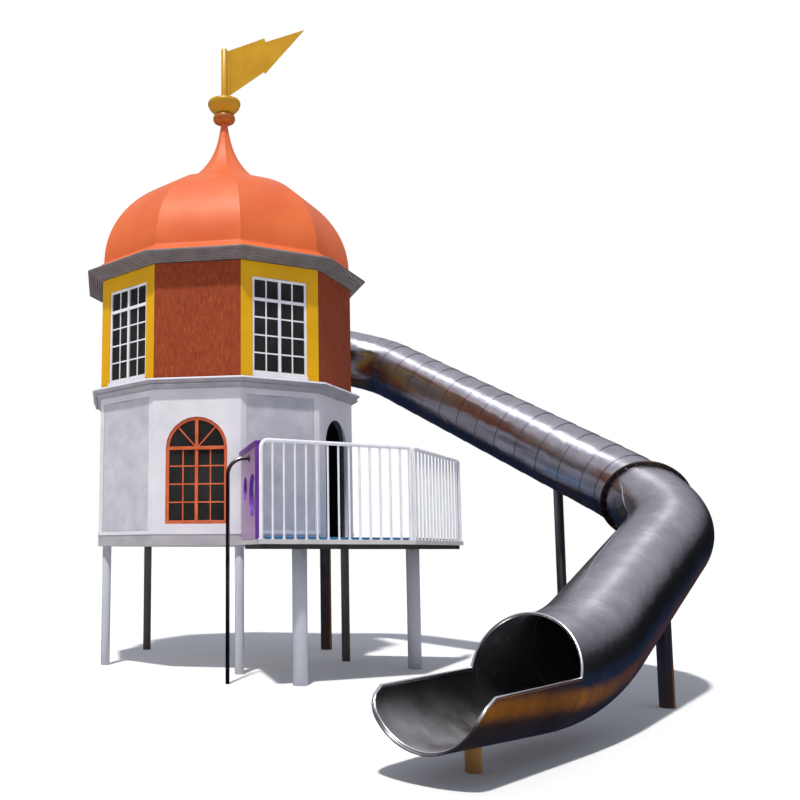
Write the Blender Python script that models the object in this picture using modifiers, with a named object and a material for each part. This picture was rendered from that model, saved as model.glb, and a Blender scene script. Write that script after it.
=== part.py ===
"""A playground tower with a stainless steel tube slide.

Metres, +Z up, ground at z = 0. The tower is a regular decagon on posts. An azimuth is measured from the
front, -Y, towards +X, so azimuth 0 is the front corner of the tower and azimuth 90 a face along +X.
"""

import math

import bpy
import bmesh
from mathutils import Matrix, Vector

NAME = "slide_tower"
GAP = 0.0003

# The tower stands here, so that the origin is the middle of the whole object's footprint.
TOWER = Vector((-1.3673, 2.5196, 0.0))

# The decagon.
SIDES = 10
STEP = 360 / SIDES
RADIUS = 1.60
WALL = 0.08
APOTHEM = RADIUS * math.cos(math.radians(STEP / 2))
FACE_WIDTH = 2 * RADIUS * math.sin(math.radians(STEP / 2))

# Levels of the tower.
FLOOR_UNDER = 1.356
DECK_TOP = 1.411
LOWER_WALL_TOP = 3.080
UPPER_FLOOR_TOP = 3.189
UPPER_WALL_TOP = 4.520
CORNICE_TOP = 4.635
MID_CORNICE_RADIUS = 1.70
TOP_CORNICE_RADIUS = 1.79

# Openings in the faces.
WINDOW_WIDTH = 0.70
WINDOW_SILL = 3.255
WINDOW_HEAD = 4.350
ARCH_WIDTH = 0.69
ARCH_SILL = 1.593
ARCH_SPRING = 2.421
DOOR_WIDTH = 0.64
DOOR_SPRING = 2.508
PANEL_MARGIN = 0.07
PANEL_RECESS = 0.012
HATCH_SIZE = 0.60
HATCH_AZIMUTH = 270
HATCH_REACH = 0.95
LOWER_WINDOW_AZIMUTHS = (-18, 126, 198, 270)
LOWER_PLAIN_AZIMUTHS = (-54, 18, 90, 162, 234)
DOOR_AZIMUTH = 54
UPPER_WINDOW_AZIMUTHS = (-54, 18, 90, 162, 234)
UPPER_PLAIN_AZIMUTHS = (-18, 54, 198, 270)
SLIDE_AZIMUTH = 126

# The dome and what stands on it.
DOME_BASE = 4.636
DOME_SPRING = 4.765
DOME_RISE = 1.27
DOME_RADIUS = 1.59
DOME_KICK = 0.17
DOME_SKIN = 0.025
SPIRE_FOOT = 5.954
SPIRE_FOOT_RADIUS = 0.560
SPIRE_TOP = 6.83
SPIRE_TAPER = 2.95
POLE_RADIUS = 0.040
POLE_TOP = 7.86
PENNANT_THICKNESS = 0.012

# The deck, its railing and its side panel.
DECK_RADIUS = 2.896
DECK_THICKNESS = 0.045
FRAME_INSET = 0.045
FRAME_DEPTH = 0.045
DECK_CORNERS = (0, 36, 72)
RAIL_TOP = 2.377
RAIL_RADIUS = 0.020
RAIL_INSET = 0.030
RAIL_BEND = 0.075
BALUSTER_RADIUS = 0.0105
BALUSTERS = 13
SIDE_PANEL_TOP = 2.36
SIDE_PANEL_THICKNESS = 0.045
SIDE_PANEL_REACH = (1.66, 2.80)
BIG_HOLE = (2.42, 1.85, 0.215)
SMALL_HOLE = (1.94, 1.94, 0.125)
CAP_THICKNESS = 0.03
CAP_WIDTH = 0.10

# Posts: azimuth and distance from the tower's axis.
TOWER_POSTS = {"front": (0, 1.494), "right": (72, 1.494), "left": (-72, 1.494), "back": (-144, 1.494)}
TOWER_POST_RADIUS = 0.050
DECK_POSTS = {"front": (11.1, 2.47), "right": (57.1, 2.382)}
DECK_POST_RADIUS = 0.075
FIRE_POLE = Vector((-0.22, -2.24, 0.0))
FIRE_POLE_RADIUS = 0.020
FIRE_POLE_TOP = 2.235
FIRE_POLE_BEND = 0.17

# The slide: runs of its centreline as length, azimuth of travel at the end and fall angle at the end.
TUBE_RADIUS = 0.385
TUBE_SKIN = 0.008
TUBE_BEVEL = 10
TUBE_MOUTH_HEIGHT = 4.06
MOUTH_RUN = (0.22, 126, 0.0)
BEND_RUN = (1.29, 27.0, 27.4)
CHUTE_RUN = (3.54, 27.0, 27.4)
ELBOW_RUN = (1.95, -46.6, 19.2)
LOWER_RUN = (2.06, -46.6, 19.2)
RUNOUT_RUN = (1.18, -50.7, -2.5)
TROUGH_RUN = (1.08, -50.7, -2.5)
BEND_STEP = 0.13
JOINT_STUB = 0.05
FLANGE_STATION = 5
FLANGE_RADIUS = 0.425
FLANGE_WIDTH = 0.030
FLANGE_LEAN = 20
HOOD_LEAN = 0.14
LIP_REACH = 0.20
LIP_DROP = 0.17

# Slide legs: place seen from the tower's axis, radius, and a height that lies inside the tube above.
SLIDE_LEGS = {
    "mouth": ((1.491, 0.896), 0.073, 3.90),
    "chute": ((3.655, -1.523), 0.052, 2.50),
    "elbow": ((3.26, -4.15), 0.064, 1.15),
    "trough": ((0.765, -6.20), 0.050, 0.45),
}


def direction(azimuth, length=1.0):
    """The level vector of this length towards an azimuth."""
    angle = math.radians(azimuth)
    return Vector((math.sin(angle) * length, -math.cos(angle) * length, 0.0))


def bend_points(centre, along, radius, angles):
    """Points of a quarter bend that starts upright and ends level, towards along."""
    turns = [math.radians(angle) for angle in angles]
    up = Vector((0, 0, 1))
    return [centre + radius * (up * math.sin(turn) - along * math.cos(turn)) for turn in turns]


def clear_scene():
    for old in list(bpy.data.objects):
        bpy.data.objects.remove(old, do_unlink=True)


def make_collection(name, hidden=False):
    collection = bpy.data.collections.new(name)
    bpy.context.scene.collection.children.link(collection)
    collection.hide_render = hidden
    return collection


def finish(name, colour, roughness, metallic=0.0):
    """A plain Principled material."""
    material = bpy.data.materials.new(name)
    material.use_nodes = True
    shader = material.node_tree.nodes["Principled BSDF"]
    shader.inputs["Base Color"].default_value = (*colour, 1.0)
    shader.inputs["Roughness"].default_value = roughness
    shader.inputs["Metallic"].default_value = metallic
    return material


def add_object(name, data, material=None, collection=None):
    made = bpy.data.objects.new(name, data)
    (collection or PARTS).objects.link(made)
    if material:
        data.materials.clear()
        data.materials.append(material)
    return made


def stand_on_tower(made, azimuth=0.0):
    """Parents an object to the empty on the tower's axis and turns it to face an azimuth."""
    made.parent = AXIS
    made.rotation_euler = (0.0, 0.0, math.radians(azimuth))
    return made


def as_cutter(made):
    made.hide_render = True
    made.display_type = "WIRE"
    return made


def cut(made, cutter, operation="DIFFERENCE"):
    change = made.modifiers.new(cutter.name, "BOOLEAN")
    change.operation = operation
    change.solver = "EXACT"
    change.object = cutter
    return made


def smooth(made, angle=40):
    made.data.shade_smooth()
    made.data.set_sharp_from_angle(angle=math.radians(angle))
    return made


def mesh_of(work, name):
    mesh = bpy.data.meshes.new(name)
    work.to_mesh(mesh)
    work.free()
    return mesh


def box_mesh(name, low, high):
    """A box between two corners."""
    work = bmesh.new()
    bmesh.ops.create_cube(work, size=1.0)
    low, high = Vector(low), Vector(high)
    bmesh.ops.scale(work, vec=high - low, verts=work.verts)
    bmesh.ops.translate(work, vec=(low + high) / 2, verts=work.verts)
    return mesh_of(work, name)


def rod_mesh(name, radius, low, high, sides=16):
    """An upright round rod between two heights, on the object's own axis."""
    work = bmesh.new()
    bmesh.ops.create_cone(
        work, cap_ends=True, segments=sides, radius1=radius, radius2=radius, depth=high - low
    )
    bmesh.ops.translate(work, vec=(0, 0, (low + high) / 2), verts=work.verts)
    return mesh_of(work, name)


def turned(name, profile, material, steps, closed=False):
    """A profile of (radius, height) points turned about the tower's axis."""
    work = bmesh.new()
    points = [work.verts.new((radius, 0.0, height)) for radius, height in profile]
    for first, second in zip(points, points[1:]):
        work.edges.new((first, second))
    if closed:
        work.edges.new((points[-1], points[0]))
    made = add_object(name, mesh_of(work, name), material)
    screw = made.modifiers.new("turn", "SCREW")
    screw.steps = steps
    screw.render_steps = steps
    screw.use_merge_vertices = True
    screw.merge_threshold = 0.0001
    return stand_on_tower(made, -90)


def outline_curve(name, outlines, thickness):
    """A flat plate from closed 2D outlines; an outline inside another is a hole."""
    curve = bpy.data.curves.new(name, "CURVE")
    curve.dimensions = "2D"
    curve.fill_mode = "BOTH"
    curve.extrude = thickness / 2
    for outline in outlines:
        spline = curve.splines.new("POLY")
        spline.points.add(len(outline) - 1)
        for point, (x, y) in zip(spline.points, outline):
            point.co = (x, y, 0.0, 1.0)
        spline.use_cyclic_u = True
    return curve


def path_curve(name, points, radius, resolution=2, caps=True, twist="MINIMUM"):
    """A round tube along 3D points."""
    curve = bpy.data.curves.new(name, "CURVE")
    curve.dimensions = "3D"
    curve.twist_mode = twist
    curve.bevel_depth = radius
    curve.bevel_resolution = resolution
    curve.use_fill_caps = caps
    spline = curve.splines.new("POLY")
    spline.points.add(len(points) - 1)
    for point, place in zip(spline.points, points):
        point.co = (*place, 1.0)
    return curve


def curve_to_mesh(name, curve, collection=None, material=None):
    """A mesh object made from a curve, with its caps welded."""
    guide = add_object(name + "_guide", curve)
    bpy.context.view_layer.update()
    evaluated = guide.evaluated_get(bpy.context.evaluated_depsgraph_get())
    mesh = bpy.data.meshes.new_from_object(evaluated)
    work = bmesh.new()
    work.from_mesh(mesh)
    bmesh.ops.remove_doubles(work, verts=work.verts, dist=0.00005)
    work.to_mesh(mesh)
    work.free()
    made = add_object(name, mesh, material, collection)
    made.matrix_world = guide.matrix_world.copy()
    bpy.data.objects.remove(guide, do_unlink=True)
    return made


def circle(x, y, radius, count):
    return [
        (x + radius * math.cos(2 * math.pi * i / count), y + radius * math.sin(2 * math.pi * i / count))
        for i in range(count)
    ]


def arched_outline(width, low, spring, count=12):
    """A doorway's outline: straight jambs under a half circle."""
    half = width / 2
    arc = [
        (half * math.cos(math.pi * i / count), spring + half * math.sin(math.pi * i / count))
        for i in range(count + 1)
    ]
    return [(-half, low), (half, low)] + arc


def face_panel(name, azimuth, low, high, material):
    """One side of the decagon as a slab, mitred at both corners."""
    half = FACE_WIDTH / 2 - GAP
    work = bmesh.new()
    bmesh.ops.create_cube(work, size=1.0)
    bmesh.ops.scale(work, vec=(2 * half, WALL, high - low), verts=work.verts)
    mitre = 1 - WALL * math.tan(math.radians(STEP / 2)) / half
    inner = [v for v in work.verts if v.co.y > 0]
    bmesh.ops.scale(work, vec=(mitre, 1, 1), verts=inner)
    bmesh.ops.translate(work, vec=(0, WALL / 2 - APOTHEM, (low + high) / 2), verts=work.verts)
    return stand_on_tower(add_object(name, mesh_of(work, name), material), azimuth)


def upright_plate(name, outlines, thickness, material=None, collection=None):
    """A plate from outlines of (x, height), standing in its object's XZ plane."""
    made = curve_to_mesh(name, outline_curve(name, outlines, thickness), collection, material)
    made.data.transform(Matrix.Rotation(math.radians(90), 4, "X"))
    return made


def opening_cutter(name, outline, azimuth, depth=3 * WALL):
    """A cutter that goes right through the wall that faces an azimuth."""
    made = upright_plate(name, [outline], depth, collection=CUTTERS)
    made.data.transform(Matrix.Translation((0, WALL / 2 - APOTHEM, 0)))
    return as_cutter(stand_on_tower(made, azimuth))


def rectangle(half, low, high):
    return [(-half, low), (half, low), (half, high), (-half, high)]


def lower_walls():
    """The ground storey's ten sides: arched windows, one doorway, and plain sides with a shallow panel."""
    low, high = DECK_TOP + GAP, LOWER_WALL_TOP - GAP
    window = arched_outline(ARCH_WIDTH, ARCH_SILL, ARCH_SPRING)
    for number, azimuth in enumerate(LOWER_WINDOW_AZIMUTHS, 1):
        wall = face_panel(f"lower_window_wall_{number}", azimuth, low, high, PALE_WALL)
        cut(wall, opening_cutter(f"arch_cut_{number}", window, azimuth))
    door = arched_outline(DOOR_WIDTH, DECK_TOP - 0.1, DOOR_SPRING)
    wall = face_panel("lower_door_wall", DOOR_AZIMUTH, low, high, PALE_WALL)
    cut(wall, opening_cutter("door_cut", door, DOOR_AZIMUTH))
    half = FACE_WIDTH / 2 - PANEL_MARGIN
    field = rectangle(half, low + PANEL_MARGIN, high - PANEL_MARGIN)
    for number, azimuth in enumerate(LOWER_PLAIN_AZIMUTHS, 1):
        wall = face_panel(f"lower_plain_wall_{number}", azimuth, low, high, PALE_WALL)
        recess = opening_cutter(f"recess_cut_{number}", field, azimuth, 2 * PANEL_RECESS)
        recess.data.transform(Matrix.Translation((0, -WALL / 2, 0)))
        cut(wall, recess)


def upper_walls(tube):
    """The upper storey's ten sides: windows in every other one, and the slide's hole in a plain one."""
    low, high = UPPER_FLOOR_TOP + GAP, UPPER_WALL_TOP - GAP
    window = rectangle(WINDOW_WIDTH / 2, WINDOW_SILL, WINDOW_HEAD)
    for number, azimuth in enumerate(UPPER_WINDOW_AZIMUTHS, 1):
        wall = face_panel(f"upper_window_wall_{number}", azimuth, low, high, YELLOW)
        cut(wall, opening_cutter(f"window_cut_{number}", window, azimuth))
    for number, azimuth in enumerate(UPPER_PLAIN_AZIMUTHS, 1):
        face_panel(f"upper_plain_wall_{number}", azimuth, low, high, TERRACOTTA)
    cut(face_panel("upper_slide_wall", SLIDE_AZIMUTH, low, high, TERRACOTTA), tube)


def floors():
    """The tower's floor, and the upper floor with the middle cornice as its edge and a hatch through it."""
    flat = [(0.0, DECK_TOP), (RADIUS, DECK_TOP), (RADIUS, FLOOR_UNDER), (0.0, FLOOR_UNDER)]
    turned("tower_floor", flat, PALE_WALL, SIDES)
    fillet, cove = 0.024, LOWER_WALL_TOP + 0.012
    edge = [
        (0.0, UPPER_FLOOR_TOP),
        (MID_CORNICE_RADIUS, UPPER_FLOOR_TOP),
        (MID_CORNICE_RADIUS, UPPER_FLOOR_TOP - fillet),
        (MID_CORNICE_RADIUS - 0.018, UPPER_FLOOR_TOP - fillet - 0.008),
        (MID_CORNICE_RADIUS - 0.034, UPPER_FLOOR_TOP - fillet - 0.030),
        (MID_CORNICE_RADIUS - 0.062, cove + 0.016),
        (RADIUS + 0.020, cove),
        (RADIUS + 0.020, LOWER_WALL_TOP),
        (0.0, LOWER_WALL_TOP),
    ]
    upper = turned("upper_floor", edge, PALE_WALL, SIDES)
    half = HATCH_SIZE / 2
    place = direction(HATCH_AZIMUTH, HATCH_REACH)
    low, high = (-half, -half, LOWER_WALL_TOP - 0.1), (half, half, UPPER_FLOOR_TOP + 0.1)
    hatch = add_object("hatch_cut", box_mesh("hatch_cut", low, high), collection=CUTTERS)
    hatch.parent = AXIS
    hatch.location = place
    cut(upper, as_cutter(hatch))


def upper_cornice():
    """The ribbed eaves ring: steps that reach further out towards the top."""
    inner = RADIUS - WALL / math.cos(math.radians(STEP / 2))
    ribs = 5
    reach = TOP_CORNICE_RADIUS - RADIUS - 0.015
    rise = CORNICE_TOP - UPPER_WALL_TOP - 0.030
    steps = [(TOP_CORNICE_RADIUS, CORNICE_TOP), (TOP_CORNICE_RADIUS, CORNICE_TOP - 0.030)]
    for rib in range(ribs):
        out = TOP_CORNICE_RADIUS - reach * (rib + 1) / ribs
        low = CORNICE_TOP - 0.030 - rise * rib / ribs
        steps += [(out, low), (out, low - rise / ribs)]
    profile = [(inner, CORNICE_TOP)] + steps + [(inner, UPPER_WALL_TOP)]
    turned("upper_cornice", profile, GREY_TRIM, SIDES, closed=True)


def dome_outline(inset):
    """The dome's outline from the spire's foot to the base, moved inwards by inset."""
    count = 11
    points = []
    start = math.asin((SPIRE_FOOT_RADIUS) / DOME_RADIUS)
    for i in range(count + 1):
        angle = start + (math.pi / 2 - start) * i / count
        radius = DOME_RADIUS * math.sin(angle) - inset
        points.append((radius, DOME_SPRING + (DOME_RISE - inset) * math.cos(angle)))
    for part in (1 / 3, 2 / 3, 1.0):
        height = DOME_SPRING + (DOME_BASE - DOME_SPRING) * part
        points.append((DOME_RADIUS + DOME_KICK * part**2 - inset, height))
    return points


def spire_radius(height):
    return SPIRE_FOOT_RADIUS * math.exp(-SPIRE_TAPER * (height - SPIRE_FOOT))


def dome():
    """Ten gores that rise to a thin spire: a skin, solid only near the spire's top."""
    heights = [SPIRE_TOP + (SPIRE_FOOT - SPIRE_TOP) * i / 10 for i in range(11)]
    spire = [(spire_radius(height), height) for height in heights]
    outer = [(0.0, SPIRE_TOP)] + spire + dome_outline(0.0)[1:]
    inner = list(reversed(dome_outline(DOME_SKIN)))
    hollow = [SPIRE_FOOT + step for step in (0.07, 0.15, 0.24, 0.34)]
    inner += [(spire_radius(height) - DOME_SKIN * 1.2, height) for height in hollow]
    profile = outer + inner + [(0.0, inner[-1][1] + 0.01)]
    turned("dome", profile, DOME_ORANGE, SIDES)


def finial():
    """The knob, the bowl over it and the flagpole, turned as one piece."""
    base = SPIRE_TOP + GAP
    knob = [
        (0.0, POLE_TOP),
        (POLE_RADIUS, POLE_TOP),
        (POLE_RADIUS, 7.165),
        (0.150, 7.150),
        (0.205, 7.120),
        (0.213, 7.080),
        (0.190, 7.040),
        (0.120, 6.985),
        (0.100, 6.960),
        (0.128, 6.945),
        (0.143, 6.910),
        (0.130, 6.865),
        (0.080, base),
        (0.0, base),
    ]
    smooth(turned("finial", knob, YELLOW, 24))


def pennant():
    """A sheet pennant with a step half way along, bolted to the flagpole."""
    start = POLE_RADIUS + GAP
    outline = [
        (start, 7.20),
        (0.530, 7.585),
        (0.543, 7.557),
        (1.080, 8.220),
        (0.551, 8.007),
        (0.535, 8.060),
        (start, 7.84),
    ]
    stand_on_tower(upright_plate("pennant", [outline], PENNANT_THICKNESS, YELLOW), 0)


def ring_sector(inner, outer, azimuths):
    """A plan outline between two radii, cornered at the azimuths."""
    far = [direction(a, outer) for a in azimuths]
    near = [direction(a, inner) for a in reversed(azimuths)]
    return [(p.x, p.y) for p in far + near]


def inset_sector():
    """The deck frame's outline: the deck's, moved in on its three free sides."""
    inner = RADIUS + 2 * GAP
    start, middle, end = DECK_CORNERS
    outer = DECK_RADIUS - FRAME_INSET / math.cos(math.radians(STEP / 2))
    side_in, side_out = (math.degrees(FRAME_INSET / r) for r in (inner, outer))
    far = [direction(start + side_out, outer), direction(middle, outer), direction(end - side_out, outer)]
    near = [direction(end - side_in, inner), direction(middle, inner), direction(start + side_in, inner)]
    return [(p.x, p.y) for p in far + near]


def deck():
    """The deck's slab with its edge band, and the dark frame under it."""
    outline = ring_sector(RADIUS + 2 * GAP, DECK_RADIUS, DECK_CORNERS)
    slab = add_object("deck", outline_curve("deck", [outline], DECK_THICKNESS), OFF_WHITE)
    stand_on_tower(slab).location.z = DECK_TOP - DECK_THICKNESS / 2
    frame = add_object("deck_frame", outline_curve("deck_frame", [inset_sector()], FRAME_DEPTH), DARK_STEEL)
    stand_on_tower(frame).location.z = DECK_TOP - DECK_THICKNESS - GAP - FRAME_DEPTH / 2


def rail_path(start, end, bend_start):
    """Up a post, round a bend where there is one, along the top and down to the deck at the other end."""
    low, high = DECK_TOP + GAP, RAIL_TOP - RAIL_RADIUS
    along = (end - start).normalized()
    up = Vector((0, 0, 1))
    points = [start + up * low]
    corner = start + up * high
    if bend_start:
        centre = corner + along * RAIL_BEND - up * RAIL_BEND
        points += bend_points(centre, along, RAIL_BEND, range(0, 91, 18))
    else:
        points.append(corner)
    points += [end + up * high, end + up * low]
    return points


def railing(name, first, last, bend_start):
    """One side of the railing: rail, end posts and balusters joined into one comb that stands on the deck."""
    ring = DECK_RADIUS - RAIL_INSET / math.cos(math.radians(STEP / 2))
    start, end = direction(first, ring), direction(last, ring)
    along = (end - start).normalized()
    start = start + along * (RAIL_RADIUS + 0.004)
    end = end - along * (RAIL_RADIUS + 0.004)
    tube_line = path_curve(name, rail_path(start, end, bend_start), RAIL_RADIUS)
    rail = curve_to_mesh(name, tube_line, material=WHITE)
    bars = make_collection(name + "_bars", hidden=True)
    for i in range(1, BALUSTERS + 1):
        place = start.lerp(end, i / (BALUSTERS + 1))
        bar_name = f"{name}_bar_{i}"
        low, high = DECK_TOP + GAP, RAIL_TOP - RAIL_RADIUS
        bar = add_object(bar_name, rod_mesh(bar_name, BALUSTER_RADIUS, low, high, 8), collection=bars)
        bar.parent = AXIS
        bar.location = (place.x, place.y, 0)
        as_cutter(bar)
    join = rail.modifiers.new("bars", "BOOLEAN")
    join.operation = "UNION"
    join.operand_type = "COLLECTION"
    join.collection = bars
    join.solver = "EXACT"
    rail.parent = AXIS


def side_panel():
    """The moulded panel at the deck's left edge: two round holes and a cap board along its top."""
    near, far = SIDE_PANEL_REACH
    low = DECK_TOP + GAP
    outline = [(near, low), (far, low), (far, SIDE_PANEL_TOP), (near, SIDE_PANEL_TOP)]
    holes = [circle(*BIG_HOLE, 24), circle(*SMALL_HOLE, 18)]
    panel = upright_plate("side_panel", [outline] + holes, SIDE_PANEL_THICKNESS, PURPLE)
    panel.data.transform(Matrix.Rotation(math.radians(-90), 4, "Z"))
    half = CAP_WIDTH / 2
    low_corner = (-half, -far, SIDE_PANEL_TOP - CAP_THICKNESS)
    high_corner = (half, -near, SIDE_PANEL_TOP + GAP)
    cap = add_object("cap", box_mesh("cap", low_corner, high_corner), collection=CUTTERS)
    cap.parent = AXIS
    panel.parent = AXIS
    panel.location.x = SIDE_PANEL_THICKNESS / 2
    cap.location.x = SIDE_PANEL_THICKNESS / 2
    cut(panel, as_cutter(cap), "UNION")


def fire_pole():
    """The sliding pole: upright, then bent over into the side panel."""
    up, side = Vector((0, 0, 1)), Vector((1, 0, 0))
    centre = FIRE_POLE + up * (FIRE_POLE_TOP - FIRE_POLE_BEND) + side * FIRE_POLE_BEND
    bend = bend_points(centre, side, FIRE_POLE_BEND, range(0, 91, 15))
    end = Vector((-2 * GAP, FIRE_POLE.y, FIRE_POLE_TOP))
    curve = path_curve("fire_pole", [FIRE_POLE] + bend + [end], FIRE_POLE_RADIUS)
    stand_on_tower(add_object("fire_pole", curve, STAINLESS))


def posts():
    """The thin posts under the tower and the thick ones under the deck."""
    for name, (azimuth, reach) in TOWER_POSTS.items():
        mesh = rod_mesh(name, TOWER_POST_RADIUS, 0.0, FLOOR_UNDER - GAP)
        post = smooth(add_object(f"tower_post_{name}", mesh, POST_PAINT))
        post.parent = AXIS
        post.location = direction(azimuth, reach)
    under_frame = DECK_TOP - DECK_THICKNESS - FRAME_DEPTH - 2 * GAP
    for name, (azimuth, reach) in DECK_POSTS.items():
        mesh = rod_mesh(name, DECK_POST_RADIUS, 0.0, under_frame)
        post = smooth(add_object(f"deck_post_{name}", mesh, POST_PAINT))
        post.parent = AXIS
        post.location = direction(azimuth, reach)


def travel(azimuth, fall):
    """The unit vector of travel down the slide."""
    level = direction(azimuth, math.cos(math.radians(fall)))
    return level - Vector((0, 0, math.sin(math.radians(fall))))


def run_points(start, azimuth, fall, run):
    """Points along one run of the slide, from its start, whose azimuth and fall change evenly."""
    length, end_azimuth, end_fall = run
    straight = azimuth == end_azimuth and fall == end_fall
    count = 1 if straight else round(length / BEND_STEP)
    points = [start]
    for i in range(count):
        part = (i + 0.5) / count
        heading = travel(azimuth + (end_azimuth - azimuth) * part, fall + (end_fall - fall) * part)
        points.append(points[-1] + heading * (length / count))
    return points


def slide_runs():
    """The centreline of every run, each starting where the last one ends."""
    place = direction(SLIDE_AZIMUTH, APOTHEM) + Vector((0, 0, TUBE_MOUTH_HEIGHT))
    azimuth, fall = SLIDE_AZIMUTH, 0.0
    made = []
    for run in (MOUTH_RUN, BEND_RUN, CHUTE_RUN, ELBOW_RUN, LOWER_RUN, RUNOUT_RUN, TROUGH_RUN):
        points = run_points(place, azimuth, fall, run)
        made.append(points)
        place, azimuth, fall = points[-1], run[1], run[2]
    return made


def stub(end, towards, length):
    """A point at this distance from end, on the way to another point."""
    return end + (towards - end).normalized() * length


def tube(name, points, gap_end=True):
    """A length of tube: an open skin along its centreline, thickened inwards."""
    if gap_end:
        points = points[:-1] + [stub(points[-1], points[-2], GAP)]
    curve = path_curve(name, points, TUBE_RADIUS, TUBE_BEVEL, caps=False, twist="Z_UP")
    made = curve_to_mesh(name, curve, material=STAINLESS)
    skin = made.modifiers.new("skin", "SOLIDIFY")
    skin.thickness = TUBE_SKIN
    skin.offset = -1
    made.parent = AXIS
    return smooth(made)


def slide_core(runs):
    """A solid along the whole slide, a hair thicker than the tube, that shapes what the tube touches."""
    start = runs[0][0] + direction(SLIDE_AZIMUTH, -2 * WALL)
    points = [start]
    for run in runs:
        points += run[1:]
    curve = path_curve("slide_core", points, TUBE_RADIUS + 4 * GAP, TUBE_BEVEL, twist="Z_UP")
    made = curve_to_mesh("slide_core", curve, CUTTERS)
    made.parent = AXIS
    return as_cutter(made)


def flange(joint, heading, right, core):
    """The bolted ring round the tube, over a joint, slanted with it."""
    ends = [joint - heading * FLANGE_WIDTH / 2, joint + heading * FLANGE_WIDTH / 2]
    curve = path_curve("slide_flange", ends, FLANGE_RADIUS, TUBE_BEVEL, twist="Z_UP")
    ring = curve_to_mesh("slide_flange", curve, material=STAINLESS)
    slant = math.tan(math.radians(FLANGE_LEAN))
    for vert in ring.data.vertices:
        vert.co -= heading * (vert.co - joint).dot(right) * slant
    ring.parent = AXIS
    cut(smooth(ring), core)


def end_cutter(name, joint, normal, low, high):
    """A box across the tube, square to the joint's normal, that trims a tube from low to high along it."""
    mesh = box_mesh(name, (-1, low, -1), (1, high, 1))
    mesh.transform(Matrix.Translation(joint) @ normal.to_track_quat("Y", "Z").to_matrix().to_4x4())
    made = add_object(name, mesh, collection=CUTTERS)
    made.parent = AXIS
    return as_cutter(made)


def slide_tubes(runs, core):
    """The closed part of the slide, in the lengths it is bolted together from."""
    mouth, bend, chute, elbow, lower, runout, trough = runs
    inside = mouth[0] + direction(SLIDE_AZIMUTH, -WALL)
    bend_end = stub(chute[0], chute[-1], JOINT_STUB)
    tube("slide_upper_bend", [inside] + mouth[1:] + bend[1:] + [bend_end])
    elbow_start = stub(chute[-1], chute[0], JOINT_STUB)
    tube("slide_chute", [bend_end, elbow_start])
    before, after = elbow[FLANGE_STATION], elbow[FLANGE_STATION + 1]
    joint, heading = (before + after) / 2, (after - before).normalized()
    right = heading.cross(Vector((0, 0, 1))).normalized()
    lean = math.radians(FLANGE_LEAN)
    normal = heading * math.cos(lean) + right * math.sin(lean)
    chute_end = tube("slide_chute_end", [elbow_start] + elbow[: FLANGE_STATION + 4])
    cut(chute_end, end_cutter("joint_beyond", joint, normal, -GAP, 1))
    flange(joint, heading, right, core)
    elbow_end = stub(elbow[-1], lower[-1], JOINT_STUB)
    elbow_tube = tube("slide_elbow", elbow[FLANGE_STATION - 2 :] + [elbow_end])
    cut(elbow_tube, end_cutter("joint_before", joint, normal, -1, 0))
    rim = stub(trough[0], trough[-1], JOINT_STUB)
    hood(tube("slide_lower_tube", [elbow_end] + lower[1:] + runout[1:] + [rim]), rim, trough[-1])
    return rim


def side_knife(name, outline, rim, end):
    """A plate across the slide, from an outline of (distance past the rim, height over it)."""
    along = end - rim
    knife = upright_plate(name, [outline], 4 * TUBE_RADIUS, collection=CUTTERS)
    knife.data.transform(Matrix.Rotation(math.atan2(along.y, along.x), 4, "Z"))
    knife.parent = AXIS
    knife.location = rim
    return as_cutter(knife)


def hood(tube_end, rim, end):
    """Slants the upper half of the tube's end back from the rim's corners."""
    slope, reach = HOOD_LEAN / TUBE_RADIUS, TUBE_RADIUS * 1.5
    outline = [(0.0, 0.0), (-slope * reach, reach), (reach, reach), (reach, 0.0)]
    cut(tube_end, side_knife("hood_cut", outline, rim, end))


def slide_trough(rim, end):
    """The open end: a half pipe whose lip runs on in a rounded nose, with a rolled edge."""
    along = (end - rim).normalized()
    length = (end - rim).length
    tip = end + along * LIP_REACH
    made = tube("slide_trough", [rim, tip], gap_end=False)
    arc = [
        (length + LIP_REACH * math.cos(math.radians(a)), -LIP_DROP + LIP_DROP * math.sin(math.radians(a)))
        for a in range(90, -1, -15)
    ]
    reach, drop = TUBE_RADIUS * 1.5, TUBE_RADIUS * 2
    beyond = [(length + LIP_REACH, -drop), (length + 1, -drop), (length + 1, reach)]
    upper = [(-0.1, reach), (-0.1, 0.0)] + arc + beyond
    cut(made, side_knife("trough_cut", upper, rim, end))


def slide_legs(core):
    """Round legs whose tops are shaped to the tube they carry."""
    for name, ((x, y), radius, top) in SLIDE_LEGS.items():
        leg = smooth(add_object(f"slide_leg_{name}", rod_mesh(name, radius, 0.0, top), STAINLESS))
        leg.parent = AXIS
        leg.location = (x, y, 0)
        cut(leg, core)


clear_scene()
PARTS = make_collection(NAME)
CUTTERS = make_collection("cutters", hidden=True)
AXIS = bpy.data.objects.new("tower_axis", None)
PARTS.objects.link(AXIS)
AXIS.location = TOWER
bpy.context.view_layer.update()

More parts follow.
